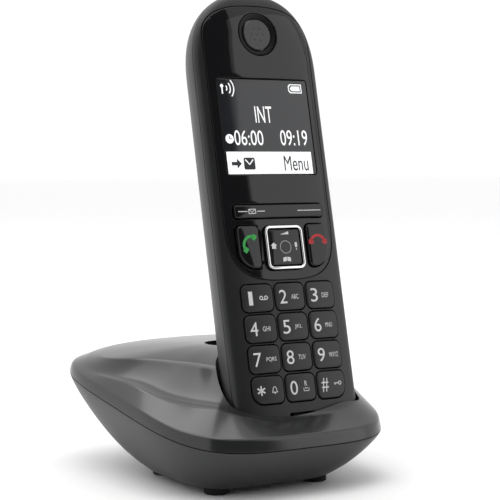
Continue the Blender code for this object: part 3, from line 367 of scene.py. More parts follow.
def block(low: Sequence[float], high: Sequence[float]) -> Shape:
    """Box between two opposite corners."""
    shape = bmesh.new()
    size = Vector(high) - Vector(low)
    middle = Matrix.Translation((Vector(high) + Vector(low)) / 2)
    bmesh.ops.create_cube(shape, size=1.0, matrix=middle @ Matrix.Diagonal((*size, 1.0)))
    return shape


def turned(profile: Sequence[Point], centre: Sequence[float], axis: Axis = Axis.UP, steps: int = 64) -> Shape:
    """Solid of revolution.

    Args:
        profile: (radius, level) points that start and end on the axis, or a closed run beside it.
        centre: where the axis stands, with level 0 at its own level.
        axis: direction of the axis.
        steps: facets round the axis.

    Returns:
        A closed shape.
    """
    shape = bmesh.new()
    points = [shape.verts.new((radius, 0.0, level)) for radius, level in profile]
    edges = [shape.edges.new(pair) for pair in zip(points, points[1:])]
    bmesh.ops.spin(shape, geom=points + edges, axis=(0, 0, 1), cent=(0, 0, 0), steps=steps,
                   angle=2 * math.pi, use_merge=True)
    bmesh.ops.remove_doubles(shape, verts=shape.verts, dist=WELD)
    if axis is Axis.INTO_HANDSET:
        lay_down = Matrix.Rotation(-math.pi / 2, 3, "X")
        bmesh.ops.rotate(shape, verts=shape.verts, cent=(0, 0, 0), matrix=lay_down)
    bmesh.ops.translate(shape, verts=shape.verts, vec=centre)
    bmesh.ops.recalc_face_normals(shape, faces=shape.faces)
    return shape


def read_back(holder: bpy.types.Object) -> Shape:
    """Shape of an object as its modifiers leave it; the object is removed."""
    bpy.context.view_layer.update()
    seen = holder.evaluated_get(bpy.context.evaluated_depsgraph_get())
    mesh = bpy.data.meshes.new_from_object(seen)
    shape = bmesh.new()
    shape.from_mesh(mesh)
    bpy.data.meshes.remove(mesh)
    bpy.data.objects.remove(holder, do_unlink=True)
    return shape


def hold(shape: Shape) -> bpy.types.Object:
    """Put a shape on a passing object; the shape is used up."""
    mesh = bpy.data.meshes.new("passing")
    shape.to_mesh(mesh)
    shape.free()
    holder = bpy.data.objects.new("passing", mesh)
    bpy.context.scene.collection.objects.link(holder)
    return holder


def carve(solid: Shape, tools: Iterable[Shape], way: Cut = Cut.TAKE_AWAY) -> Shape:
    """Change a solid with each tool in turn by an exact Boolean.

    Args:
        solid: the shape to change; it is used up.
        tools: shapes that change it; they are used up.
        way: what each tool does.

    Returns:
        The changed shape.
    """
    holder = hold(solid)
    helpers = []
    for tool in tools:
        helper = hold(tool)
        helper.hide_render = True
        step = holder.modifiers.new("carve", "BOOLEAN")
        step.operation = way.value
        step.solver = "EXACT"
        step.object = helper
        helpers.append(helper)
    changed = read_back(holder)
    for helper in helpers:
        bpy.data.objects.remove(helper, do_unlink=True)
    return changed


def bevelled(shape: Shape, width: float, segments: int = 3, angle: float = 40.0) -> Shape:
    """Round the edges that turn more than an angle in degrees."""
    limit = math.radians(angle)
    edges = [edge for edge in shape.edges if edge.is_manifold and edge.calc_face_angle(0.0) > limit]
    bmesh.ops.bevel(shape, geom=edges, offset=width, segments=segments, profile=0.5, affect="EDGES",
                    material=-1, clamp_overlap=True)
    return shape


def rounded(width: float, height: float, radii: Sequence[float], centre: Point = (0.0, 0.0),
            steps: int = 8) -> list[Point]:
    """Rectangle whose corners have radii: low left, low right, high right, high left."""
    corners = (
        (-width / 2, -height / 2, 180.0), (width / 2, -height / 2, 270.0),
        (width / 2, height / 2, 0.0), (-width / 2, height / 2, 90.0),
    )
    outline = []
    for (across, up, start), radius in zip(corners, radii):
        middle_x = centre[0] + across - math.copysign(radius, across)
        middle_y = centre[1] + up - math.copysign(radius, up)
        for step in range(steps + 1):
            angle = math.radians(start + 90.0 * step / steps)
            outline.append((middle_x + radius * math.cos(angle), middle_y + radius * math.sin(angle)))
    return outline


def ring_outline(radius: float, centre: Point = (0.0, 0.0), steps: int = 48, start: float = 0.0,
                 sweep: float = 360.0) -> list[Point]:
    """Points round a circle, or along an arc of it with both ends."""
    count = steps if sweep >= 360.0 else steps + 1
    turns = [math.radians(start + sweep * step / steps) for step in range(count)]
    return [(centre[0] + radius * math.cos(turn), centre[1] + radius * math.sin(turn)) for turn in turns]


def power(value: float, exponent: float) -> float:
    """Signed power, for superellipses."""
    return math.copysign(abs(value) ** exponent, value)


def flat_plate(outlines: Sequence[Sequence[Point]], thickness: float = PRINT_THICKNESS,
               rounding: float = 0.0) -> Shape:
    """Flat plate with holes, facing -y, its front at y = 0.

    Args:
        outlines: the outer outline first, then the holes.
        thickness: how far it goes back.
        rounding: radius of its edges.

    Returns:
        A closed shape.
    """
    curve = bpy.data.curves.new("outline", "CURVE")
    curve.dimensions = "2D"
    curve.fill_mode = "BOTH"
    curve.extrude = thickness / 2 - rounding
    curve.bevel_depth = rounding
    curve.bevel_resolution = 2
    curve.offset = -rounding
    for outline in outlines:
        spline = curve.splines.new("POLY")
        spline.points.add(len(outline) - 1)
        for point, (across, up) in zip(spline.points, outline):
            point.co = (across, up, 0.0, 1.0)
        spline.use_cyclic_u = True
    return stand_up(curve, thickness)


def stand_up(curve: bpy.types.Curve, thickness: float) -> Shape:
    """Turn a flat curve or text into a shape that faces -y with its front at y = 0."""
    holder = bpy.data.objects.new("passing", curve)
    bpy.context.scene.collection.objects.link(holder)
    shape = read_back(holder)
    bpy.data.curves.remove(curve)
    bmesh.ops.remove_doubles(shape, verts=shape.verts, dist=WELD)
    bmesh.ops.rotate(shape, verts=shape.verts, cent=(0, 0, 0), matrix=Matrix.Rotation(math.pi / 2, 3, "X"))
    bmesh.ops.translate(shape, verts=shape.verts, vec=(0.0, thickness / 2, 0.0))
    return shape


def lettering(words: str, low: Point, high: Point) -> Shape:
    """Text fitted to a box on the face.

    Args:
        words: what it says.
        low: lower left corner of the box.
        high: upper right corner of the box.

    Returns:
        A shape that faces -y with its front at y = 0.
    """
    curve = bpy.data.curves.new("words", "FONT")
    curve.body = words
    curve.size = 5.0
    curve.extrude = PRINT_THICKNESS / 2
    curve.resolution_u = 4
    shape = stand_up(curve, PRINT_THICKNESS)
    xs = [vertex.co.x for vertex in shape.verts]
    zs = [vertex.co.z for vertex in shape.verts]
    wide = (high[0] - low[0]) / (max(xs) - min(xs))
    tall = (high[1] - low[1]) / (max(zs) - min(zs))
    for vertex in shape.verts:
        vertex.co.x = low[0] + (vertex.co.x - min(xs)) * wide
        vertex.co.z = low[1] + (vertex.co.z - min(zs)) * tall
    return shape


def join(shapes: Iterable[Shape]) -> Shape:
    """Put several shapes in one; they are used up."""
    whole = bmesh.new()
    for shape in shapes:
        mesh = bpy.data.meshes.new("passing")
        shape.to_mesh(mesh)
        shape.free()
        whole.from_mesh(mesh)
        bpy.data.meshes.remove(mesh)
    return whole


def stroke(path: Sequence[Point], width: float) -> Shape:
    """Line of even width along a path on the face."""
    left, right = [], []
    for index, spot in enumerate(path):
        ahead = Vector(path[min(index + 1, len(path) - 1)])
        behind = Vector(path[max(index - 1, 0)])
        along = (ahead - behind).normalized()
        side = Vector((-along.y, along.x)) * width / 2
        left.append(tuple(Vector(spot) + side))
        right.append(tuple(Vector(spot) - side))
    return flat_plate([left + right[::-1]])


def hoop(radius: float, width: float, centre: Point) -> Shape:
    """Flat ring on the face."""
    return flat_plate([ring_outline(radius + side * width / 2, centre) for side in (1, -1)])


def disc(radius: float, centre: Point) -> Shape:
    """Flat disc on the face."""
    return flat_plate([ring_outline(radius, centre)])


def moved(shape: Shape, shift: Sequence[float] = (0, 0, 0), turn: float = 0.0,
          about: Sequence[float] = (0, 0, 0), axis: str = "Y") -> Shape:
    """Turn a shape about a point, in radians, then shift it."""
    bmesh.ops.rotate(shape, verts=shape.verts, cent=about, matrix=Matrix.Rotation(turn, 3, axis))
    bmesh.ops.translate(shape, verts=shape.verts, vec=shift)
    return shape


def piece(name: str, shape: Shape, finish: Finish, body: str, nodes: Sequence[str] = (),
          place: Matrix | None = None) -> bpy.types.Object:
    """Make a shape a piece of the telephone.

    Args:
        name: the piece's name.
        shape: its mesh in millimetres; it is used up.
        finish: its finish.
        body: the body it rides on.
        nodes: the CAD nodes that it stands for.
        place: the handset's frame, for a piece drawn in it.

    Returns:
        The new object, at the origin.
    """
    bmesh.ops.scale(shape, verts=shape.verts, vec=(MM, MM, MM))
    if place is not None:
        bmesh.ops.transform(shape, matrix=place, verts=shape.verts)
    mesh = bpy.data.meshes.new(name)
    shape.to_mesh(mesh)
    shape.free()
    mesh.shade_smooth()
    mesh.set_sharp_from_angle(angle=math.radians(SHARP_TURN))
    mesh.materials.append(PAINTS.get(finish))
    made = bpy.data.objects.new(name, mesh)
    bpy.context.scene.collection.objects.link(made)
    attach(made, body)
    if nodes:
        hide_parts(*nodes)
    LOG.info("%s: %d faces", name, len(mesh.polygons))
    return made


def dress(node: str, finish: Finish) -> None:
    """Give a CAD node a finish."""
    mesh = frame["nodes"][node].data
    for index in range(len(mesh.materials)):
        mesh.materials[index] = PAINTS.get(finish)
    LOG.info("%s: carried over", node)


def dress_all(inside: dict[Finish, Sequence[str]]) -> None:
    """Give CAD nodes their finishes, from the nodes listed under each finish."""
    for finish, nodes in inside.items():
        for node in nodes:
            dress(node, finish)


# --------------------------------------------------------------------------- handset

@dataclass
class HandsetForm:
    """Outer form of the handset: a flat-fronted, round-backed bar that closes in at both ends."""

    length: float = 155.0
    width: float = 48.2
    front_depth: float = 4.5
    back_depth: float = 22.0
    front_roundness: float = 2.9
    back_roundness: float = 2.05
    top_reach: float = 28.0
    top_front_reach: float = 15.0
    top_back_reach: float = 32.0
    bottom_reach: float = 9.0
    end_roundness: float = 2.4
    least_end: float = 0.12

    def taper(self, distance: float, reach: float) -> float:
        """1 away from an end, closing towards it."""
        near = max(distance, self.least_end)
        if near >= reach:
            return 1.0
        return (1.0 - (1.0 - near / reach) ** self.end_roundness) ** (1.0 / self.end_roundness)

    def spans(self, height: float, inset: float = 0.0) -> tuple[float, float, float]:
        """Half width, depth in front of the seam and depth behind it, at a height."""
        above = height - inset
        below = self.length - inset - height
        foot = self.taper(above, self.bottom_reach)
        half = (self.width / 2 - inset) * self.taper(below, self.top_reach) * foot
        front = (self.front_depth - inset) * self.taper(below, self.top_front_reach) * foot
        back = (self.back_depth - inset) * self.taper(below, self.top_back_reach) * foot
        return half, front, back

    def section(self, height: float, inset: float, count: int) -> list[tuple[float, float, float]]:
        """Cross-section at a height, shrunk by the inset."""
        half, front, back = self.spans(height, inset)
        ring = []
        for index in range(count):
            angle = 2 * math.pi * index / count
            across, along = math.cos(angle), math.sin(angle)
            roundness = self.back_roundness if along > 0 else self.front_roundness
            depth = back if along > 0 else front
            x = half * power(across, 2 / roundness)
            y = self.front_depth + depth * power(along, 2 / roundness)
            ring.append((x, y, height))
        return ring

    def solid(self, inset: float = 0.0, count: int = 144, top_steps: int = 30) -> Shape:
        """The whole handset as one solid, shrunk by the inset."""
        bottom_steps = 12
        turns = [90.0 * step / bottom_steps for step in range(bottom_steps + 1)]
        heights = [inset + self.bottom_reach * (1 - math.cos(math.radians(turn))) for turn in turns]
        top = self.length - inset
        reach = self.top_back_reach
        straight = 24
        low, high = heights[-1], top - reach
        heights += [low + (high - low) * step / straight for step in range(1, straight)]
        turns = [90.0 * step / top_steps for step in range(top_steps, -1, -1)]
        heights += [top - reach * (1 - math.cos(math.radians(turn))) for turn in turns]
        return loft([self.section(height, inset, count) for height in heights])

    def face(self, across: float, height: float) -> float:
        """Depth of the front face at a spot."""
        half, front, _ = self.spans(height)
        share = min(abs(across) / half, 0.9995)
        return self.front_depth - front * (1 - share ** self.front_roundness) ** (1 / self.front_roundness)

    def slope(self, across: float, height: float) -> float:
        """Angle of the front face about the long axis at a spot."""
        step = 0.5
        return math.atan2(self.face(across + step, height) - self.face(across - step, height), 2 * step)


def handset_place(centre_depth: float, centre_height: float) -> Matrix:
    """The handset's frame, from the lift joint's direction and the navigation pivot's place.

    Args:
        centre_depth: depth of the navigation pivot in the handset's frame, in millimetres.
        centre_height: its height in that frame.

    Returns:
        The matrix from the handset's frame to the world, in metres.
    """
    joints = {joint["name"]: joint for joint in frame["joints"]}
    up = Vector(joints["handset_lift"]["axis"])
    lean = math.atan2(up.y, up.z)
    turn = Matrix.Rotation(-lean, 4, "X")
    pivot = Vector(joints["nav_pitch"]["pos_m"])
    start = pivot - turn @ Vector((0.0, centre_depth * MM, centre_height * MM))
    return Matrix.Translation(start) @ turn


@dataclass
class Handset:
    """Everything on the handset's outside."""

    form: HandsetForm = field(default_factory=HandsetForm)
    gap: float = 0.3
    key_gap: float = 0.45
    front_wall: float = 2.2
    rear_wall: float = 1.8
    panel_half: float = 21.1
    panel_low: float = 54.7
    panel_high: float = 149.8
    panel_low_rise: float = 22.0
    panel_high_rise: float = 13.0
    panel_thickness: float = 1.0
    panel_edge: float = 0.18
    panel_top_roundness: float = 2.6
    panel_low_roundness: float = 3.2
    display_size: Point = (35.4, 33.1)
    display_centre: float = 107.4
    display_sink: float = 0.75
    display_corner: float = 0.8
    ear_centre: float = 139.8
    ear_ring: float = 7.4
    ear_disc: float = 5.4
    ear_hole: float = 0.2
    key_size: Point = (11.4, 9.0)
    key_pitch: Point = (12.5, 10.18)
    key_low: float = 18.4
    key_proud: float = 0.35
    key_depth: float = 2.5
    key_edge: float = 0.35
    call_size: Point = (8.0, 14.4)
    call_offset: float = 13.6
    call_centre: float = 66.0
    call_sweep: float = 6.0
    call_proud: float = 0.9
    call_edge: float = 0.6
    call_symbol_rise: float = 1.2
    softkey_size: Point = (34.8, 4.4)
    softkey_centre: float = 78.1
    softkey_corner: float = 0.9
    softkey_proud: float = 0.2
    nav_size: float = 14.8
    nav_rim: float = 0.9
    nav_corner: float = 2.2
    nav_centre: float = 65.5
    nav_proud: float = 1.5
    mic_size: Point = (10.4, 1.3)
    mic_corner: float = 0.5
    mic_centre: float = 9.7
    pad_spread: float = 9.0
    pad_place: float = 11.0
    pad_size: Point = (3.4, 4.0)
    cover_size: Point = (27.0, 56.0)
    cover_low: float = 41.0
    cover_corner: float = 5.0
    cover_from: float = 16.2
    ringer_from: float = 18.0
    ringer_pitch: float = 3.2
    ringer_slot: Point = (9.0, 1.4)
    grip_size: Point = (12.0, 0.8)
    grip_pitch: float = 2.0
    grip_depth: float = 0.35
    ringer_centre: float = 114.0

    def __post_init__(self) -> None:
        """Work out the handset's frame."""
        self.place = handset_place(self.key_depth, self.nav_centre)

    def add(self, name: str, shape: Shape, finish: Finish, slot: str, nodes: Sequence[str] = (),
            body: str = "handset") -> None:
        """Make a piece drawn in the handset's frame."""
        piece(name, shape, finish, body, nodes, self.place)

    def panel_outline(self, grow: float = 0.0) -> list[Point]:
        """Outline of the glossy panel: a rounded top and a shallow arc below the call keys."""
        low, high = self.panel_low - grow, self.panel_high + grow
        half = self.panel_half + grow
        steps = 72
        outline = []
        for index in range(2 * steps):
            angle = math.pi * index / steps
            across, along = math.cos(angle), math.sin(angle)
            if along >= 0:
                roundness, rise = self.panel_top_roundness, self.panel_high_rise
                start = high - rise
            else:
                roundness, rise = self.panel_low_roundness, self.panel_low_rise
                start = low + rise
            outline.append((half * power(across, 2 / roundness), start + rise * power(along, 2 / roundness)))
        return outline

    def key_outline(self, column: int, row: int, grow: float = 0.0) -> list[Point]:
        """Outline of a number key; the bottom row's outer lower corners are rounder."""
        small, large = 2.0 + grow, 4.0 + grow
        radii = (large if (row, column) == (0, -1) else small, large if (row, column) == (0, 1) else small,
                 small, small)
        centre = (column * self.key_pitch[0], self.key_low + row * self.key_pitch[1])
        return rounded(self.key_size[0] + 2 * grow, self.key_size[1] + 2 * grow, radii, centre)

    def call_outline(self, side: int, grow: float = 0.0) -> list[Point]:
        """Outline of a call key; its lower outer corner sweeps round with the panel."""
        small, sweep = 1.6 + grow, self.call_sweep + grow
        radii = (sweep, small, small, small) if side < 0 else (small, sweep, small, small)
        return rounded(self.call_size[0] + 2 * grow, self.call_size[1] + 2 * grow, radii,
                       (side * self.call_offset, self.call_centre))

    def bar_outline(self, size: Point, corner: float, centre: float, grow: float = 0.0) -> list[Point]:
        """Rounded bar or square on the middle line."""
        return rounded(size[0] + 2 * grow, size[1] + 2 * grow, (corner + grow,) * 4, (0.0, centre))

    def nav_outline(self, grow: float = 0.0) -> list[Point]:
        """Outline of the navigation frame."""
        return self.bar_outline((self.nav_size, self.nav_size), self.nav_corner, self.nav_centre, grow)

    def panel_holes(self) -> list[list[Point]]:
        """Holes through the panel, with their clearances."""
        return [
            self.call_outline(-1, self.key_gap), self.call_outline(1, self.key_gap),
            self.nav_outline(self.gap),
            self.bar_outline(self.softkey_size, self.softkey_corner, self.softkey_centre, self.key_gap),
            self.bar_outline(self.display_size, self.display_corner, self.display_centre, self.gap),
            ring_outline(self.ear_ring + self.gap, (0.0, self.ear_centre), 72),
        ]

    def build(self) -> None:
        """Build and dress every piece of the handset."""
        self.build_front_shell()
        self.build_panel()
        self.build_rear_shell()
        self.build_display()
        self.build_earpiece()
        self.build_number_keys()
        self.build_call_keys()
        self.build_softkey()
        self.build_navigation()
        self.dress_inside()

    def half_shell(self, front: bool) -> Shape:
        """Front or rear half of the outer form, with softened seam edges."""
        solid = self.form.solid()
        seam = self.form.front_depth if front else self.form.front_depth + self.gap
        geom = solid.verts[:] + solid.edges[:] + solid.faces[:]
        bmesh.ops.bisect_plane(solid, geom=geom, plane_co=(0, seam, 0), plane_no=(0, 1, 0), dist=WELD,
                               clear_outer=front, clear_inner=not front)
        rim = [edge for edge in solid.edges if edge.is_boundary]
        bmesh.ops.holes_fill(solid, edges=rim, sides=0)
        at_seam = [edge for edge in solid.edges
                   if all(abs(vertex.co.y - seam) < 1e-3 for vertex in edge.verts)]
        rim = [edge for edge in at_seam if edge.calc_face_angle(0.0) > 0.6]
        bmesh.ops.bevel(solid, geom=rim, offset=0.3, segments=3, profile=0.5, affect="EDGES", material=-1,
                        clamp_overlap=True)
        bmesh.ops.recalc_face_normals(solid, faces=solid.faces)
        return solid

    def build_front_shell(self) -> None:
        """Matte front shell with the panel's recess, key openings and microphone slot."""
        depth = self.form.front_depth
        inner = self.form.solid(self.front_wall, 96, 16)
        recess = prism(self.panel_outline(self.gap), -4.0, depth + 0.4)
        below = self.form.solid(self.panel_thickness + self.gap, 96, 20)
        recess = carve(recess, [below])
        tools = [inner, recess]
        tools += [prism(outline, -5.0, depth + CUT_AHEAD) for outline in self.panel_holes()]
        for row in range(4):
            for column in (-1, 0, 1):
                tools.append(prism(self.key_outline(column, row, self.key_gap), -4.0, depth + CUT_AHEAD))
        slot = self.bar_outline(self.mic_size, self.mic_corner, self.mic_centre)
        tools.append(prism(slot, -3.0, depth + CUT_AHEAD))
        shell = carve(self.half_shell(True), tools)
        self.add("front_shell_skin", shell, Finish.SHELL, "matte_body", ["front_shell"])

    def build_panel(self) -> None:
        """Glossy panel laid over the curve of the front face."""
        shape = flat_plate([self.panel_outline()] + self.panel_holes(), self.panel_thickness, self.panel_edge)
        for step in range(-21, 22):
            self.slice(shape, (step, 0, 0), (1, 0, 0))
        low, high, count = self.panel_low, self.panel_high, 56
        for step in range(1, count):
            self.slice(shape, (0, 0, low + (high - low) * step / count), (0, 0, 1))
        for vertex in shape.verts:
            vertex.co.y += self.form.face(vertex.co.x, vertex.co.z)
        self.add("front_panel_skin", shape, Finish.PANEL, "gloss_panel", ["front_panel"])

    @staticmethod
    def slice(shape: Shape, spot: Sequence[float], normal: Sequence[float]) -> None:
        """Add a line of vertices where a plane crosses a shape."""
        geom = shape.verts[:] + shape.edges[:] + shape.faces[:]
        bmesh.ops.bisect_plane(shape, geom=geom, plane_co=spot, plane_no=normal, dist=1e-5)

    def build_rear_shell(self) -> None:
        """Rounded rear shell and the cover over the cells."""
        inner = self.form.solid(self.rear_wall, 96, 16)
        middle = self.cover_low + self.cover_size[1] / 2
        outline = self.bar_outline(self.cover_size, self.cover_corner, middle, self.gap)
        opening = prism(outline, self.cover_from, BEYOND)
        tools = [inner, opening]
        for side in (-1, 1):
            low = (side * self.pad_spread - self.pad_size[0] / 2 - self.gap,
                   self.pad_place - self.pad_size[1] / 2 - self.gap, -3.0)
            high = (side * self.pad_spread + self.pad_size[0] / 2 + self.gap,
                    self.pad_place + self.pad_size[1] / 2 + self.gap, 3.8)
            tools.append(block(low, high))
        for step in (-1, 0, 1):
            slot_centre = (0.0, self.ringer_centre + self.ringer_pitch * step)
            slot = rounded(*self.ringer_slot, (0.6,) * 4, slot_centre)
            tools.append(prism(slot, self.ringer_from, BEYOND))
        shell = carve(self.half_shell(False), tools)
        self.add("rear_shell_skin", shell, Finish.REAR, "matte_body", ["rear_shell"])

        cover = carve(self.form.solid(0.0, 200), [self.form.solid(self.rear_wall, 96, 16)])
        keep = prism(self.bar_outline(self.cover_size, self.cover_corner, middle), self.cover_from, BEYOND)
        cover = carve(cover, [keep], Cut.KEEP_COMMON)
        back = self.form.front_depth + self.form.back_depth
        lowest = self.cover_low + 6.0
        grips = []
        for step in range(5):
            groove = rounded(*self.grip_size, (0.35,) * 4, (0.0, lowest + self.grip_pitch * step))
            grips.append(prism(groove, back - self.grip_depth, BEYOND))
        cover = carve(cover, grips)
        self.add("battery_cover_skin", cover, Finish.REAR, "matte_body", ["battery_cover"], "battery_cover")

    def figure(self, shape: Shape, depth: float) -> Shape:
        """Set a flat figure at a depth on the face."""
        return moved(shape, (0.0, depth, 0.0))

    def build_display(self) -> None:
        """Dark window with its lit figures and the reversed strip."""
        sink = self.display_sink
        outline = self.bar_outline(self.display_size, self.display_corner, self.display_centre)
        window = bevelled(prism(outline, sink, self.front_wall), 0.15)
        self.add("display_window", window, Finish.SCREEN, "clear_lens", ["display_lens"])
        print_depth = sink - PRINT_LIFT
        lit = [
            lettering("INT", (-4.5, 108.8), (2.3, 114.5)),
            lettering("06:00", (-13.7, 100.9), (-2.3, 106.1)),
            lettering("09:19", (4.6, 100.9), (15.6, 106.3)),
            disc(1.6, (-15.6, 103.1)),
            stroke([(-16.3, 121.2), (-16.3, 118.6)], 0.5),
            disc(0.62, (-16.3, 121.4)),
            flat_plate([self.battery_outline(0.0), self.battery_outline(-0.35)]),
            flat_plate([self.battery_outline(-0.75)]),
        ]
        for step in range(3):
            arc = ring_outline(1.5 + 1.35 * step, (-15.9, 120.6), 12, -34.0 - 4.0 * step, 68.0 + 8.0 * step)
            lit.append(stroke(arc, 0.42))
        self.add("display_figures", self.figure(join(lit), print_depth), Finish.LIT, "clear_lens")
        strip = flat_plate([rounded(33.9, 7.7, (0.2,) * 4, (-0.6, 94.85))])
        self.add("display_strip", self.figure(strip, print_depth), Finish.LIT, "clear_lens")
        dark = [
            lettering("Menu", (4.9, 92.1), (14.7, 97.3)),
            flat_plate([[(-15.9, 94.0), (-13.8, 94.0), (-13.8, 92.9), (-12.0, 94.6), (-13.8, 96.3),
                         (-13.8, 95.2), (-15.9, 95.2)]]),
            flat_plate([rounded(4.4, 4.1, (0.6,) * 4, (-8.95, 94.6))]),
            stroke([(-15.6, 104.1), (-15.6, 103.1), (-14.8, 103.1)], 0.35),
        ]
        figures = self.figure(join(dark), print_depth - STRIP_LIFT)
        self.add("display_strip_figures", figures, Finish.UNLIT, "clear_lens")
        flap = stroke([(-10.5, 96.0), (-8.95, 94.3), (-7.4, 96.0)], 0.45)
        flap = self.figure(flap, print_depth - 2 * STRIP_LIFT)
        self.add("display_strip_flap", flap, Finish.LIT, "clear_lens")

    @staticmethod
    def battery_outline(grow: float) -> list[Point]:
        """Outline of the charge symbol, with its tip on the left."""
        low, high, left, right, tip = 119.4 - grow, 122.6 + grow, 10.9 - grow, 15.7 + grow, 10.2 - grow
        return [(right, low), (right, high), (left, high), (tip, high - 0.8), (tip, low + 0.8), (left, low)]

    def build_earpiece(self) -> None:
        """Recessed black ring round the pierced earpiece disc."""
        ring, disc_radius, back = self.ear_ring, self.ear_disc, self.front_wall
        centre = (0.0, 0.0, self.ear_centre)
        profile = [(disc_radius + 0.3, back), (disc_radius + 0.3, 0.75), (disc_radius + 0.7, 0.55),
                   (ring - 0.7, 0.18), (ring - 0.25, 0.12), (ring, 0.35), (ring, back),
                   (disc_radius + 0.3, back)]
        surround = turned(profile, centre, Axis.INTO_HANDSET, 96)
        self.add("earpiece_surround", surround, Finish.GAP_DARK, "gloss_panel", ["earpiece_ring"])
        dish = [(0.0, back), (disc_radius, back), (disc_radius, 0.5), (disc_radius - 0.25, 0.3), (0.0, 0.3)]
        plate = turned(dish, centre, Axis.INTO_HANDSET, 96)
        reach = disc_radius * 0.42
        turns = [math.radians(60 * step) for step in range(6)]
        spots = [(reach * math.cos(turn), self.ear_centre + reach * math.sin(turn)) for turn in turns]
        spots.append((0.0, self.ear_centre))
        holes = [prism(ring_outline(self.ear_hole, spot, 16), -1.0, 4.0) for spot in spots]
        self.add("earpiece_disc", carve(plate, holes), Finish.EAR, "ear_plastic", ["earpiece_grille"])

    def key_turn(self, shape: Shape, column: int, height: float) -> Shape:
        """Turn a key's shape, drawn square to the middle line, to lie along the curved face."""
        centre = column * self.key_pitch[0]
        face = self.form.face(centre, height) - self.key_proud
        return moved(shape, (0.0, face, 0.0), self.form.slope(centre, height), (centre, 0.0, height), "Z")

    def build_number_keys(self) -> None:
        """Twelve keys with a soft edge and white figures."""
        names = (("star", "0", "hash"), ("7", "8", "9"), ("4", "5", "6"), ("1", "2", "3"))
        for row, labels in enumerate(names):
            for column, label in zip((-1, 0, 1), labels):
                node = f"key_{label}"
                height = self.key_low + row * self.key_pitch[1]
                cap = bevelled(prism(self.key_outline(column, row), 0.0, self.key_depth), self.key_edge, 4)
                cap = self.key_turn(cap, column, height)
                self.add(f"{node}_cap", cap, Finish.KEY, "key_plastic", [node], node)
                legend = join(self.legend(label, (column * self.key_pitch[0], height)))
                legend = self.key_turn(self.figure(legend, -PRINT_LIFT), column, height)
                self.add(f"{node}_print", legend, Finish.WHITE_PRINT, "key_plastic", (), node)

    def legend(self, label: str, centre: Point) -> list[Shape]:
        """Figure on the left of a key and letters or an icon on its right."""
        x, z = centre
        letters = {"2": "ABC", "3": "DEF", "4": "GHI", "5": "JKL",
                   "6": "MNO", "7": "PQRS", "8": "TUV", "9": "WXYZ"}
        main = {"star": "*", "hash": "#"}.get(label, label)
        half, tall = 1.45, 4.6
        left = x - 2.7
        if label == "1":
            half = 0.75
        bottom = z - tall / 2
        if label == "star":
            shapes = [stroke([(left - 1.6 * math.cos(turn), z + 1.6 * math.sin(turn)),
                              (left + 1.6 * math.cos(turn), z - 1.6 * math.sin(turn))], 0.5)
                      for turn in (math.radians(30), math.radians(90), math.radians(150))]
        else:
            shapes = [lettering(main, (left - half, bottom), (left + half, bottom + tall))]
        if label in letters:
            word = letters[label]
            width = 0.95 * len(word)
            start = x + 0.5
            shapes.append(lettering(word, (start, z - 0.95), (start + width, z + 0.65)))
        elif label == "1":
            shapes += [hoop(0.55, 0.3, (x + 1.3, z)), hoop(0.55, 0.3, (x + 3.1, z)),
                       stroke([(x + 1.3, z - 0.62), (x + 3.1, z - 0.62)], 0.28)]
        elif label == "star":
            middle = x + 2.3
            side = [(1.05, -0.8), (0.7, -0.35), (0.65, 0.35), (0.35, 0.85), (0.0, 1.0)]
            bell = [(middle - dx, z + dz) for dx, dz in side]
            bell += [(middle + dx, z + dz) for dx, dz in side[-2::-1]]
            shapes += [stroke(bell, 0.24), stroke([bell[0], bell[-1]], 0.24), disc(0.26, (middle, z - 1.1))]
        elif label == "0":
            cradle = [(x + 1.1, z - 0.3), (x + 1.1, z - 1.3), (x + 3.1, z - 1.3), (x + 3.1, z - 0.3)]
            shapes += [lettering("R", (x + 1.6, z + 0.3), (x + 2.6, z + 2.0)), stroke(cradle, 0.26),
                       stroke([(x + 1.5, z - 0.4), (x + 2.7, z - 0.4)], 0.26)]
        else:
            level = z + 0.3
            shapes += [hoop(0.55, 0.28, (x + 3.5, level)), stroke([(x + 1.1, level), (x + 2.95, level)], 0.3),
                       stroke([(x + 1.5, level), (x + 1.5, level - 0.6)], 0.3)]
        return shapes

    def receiver_icon(self, centre: Point, turn: float) -> Shape:
        """Telephone receiver: a bowed grip between two rounded ends."""
        x, z = centre
        radius = 3.1
        grip = stroke(ring_outline(radius, (0.0, -radius * 0.35), 20, 30.0, 120.0), 0.95)
        ends = []
        for side in (-1, 1):
            spot = (side * radius * math.cos(math.radians(28)),
                    -radius * 0.35 + radius * math.sin(math.radians(18)))
            ends.append(flat_plate([rounded(1.9, 1.7, (0.45,) * 4, spot)]))
        whole = join([grip] + ends)
        return moved(whole, (x, 0.0, z), turn)

    def build_call_keys(self) -> None:
        """Talk and end keys, with their coloured receivers, whose print carries a faint painted glow."""
        for side, node, finish, turn in ((-1, "talk_key", Finish.GREEN_PRINT_PAINTED_GLOW, math.radians(-50)),
                                         (1, "end_key", Finish.RED_PRINT_PAINTED_GLOW, 0.0)):
            body = prism(self.call_outline(side), -self.call_proud, self.key_depth)
            cap = bevelled(body, self.call_edge, 5)
            self.add(f"{node}_cap", cap, Finish.PANEL, "gloss_panel", [node], node)
            centre = (side * self.call_offset, self.call_centre + self.call_symbol_rise)
            icon = self.figure(self.receiver_icon(centre, turn), -self.call_proud - PRINT_LIFT)
            self.add(f"{node}_print", icon, finish, "gloss_panel", (), node)

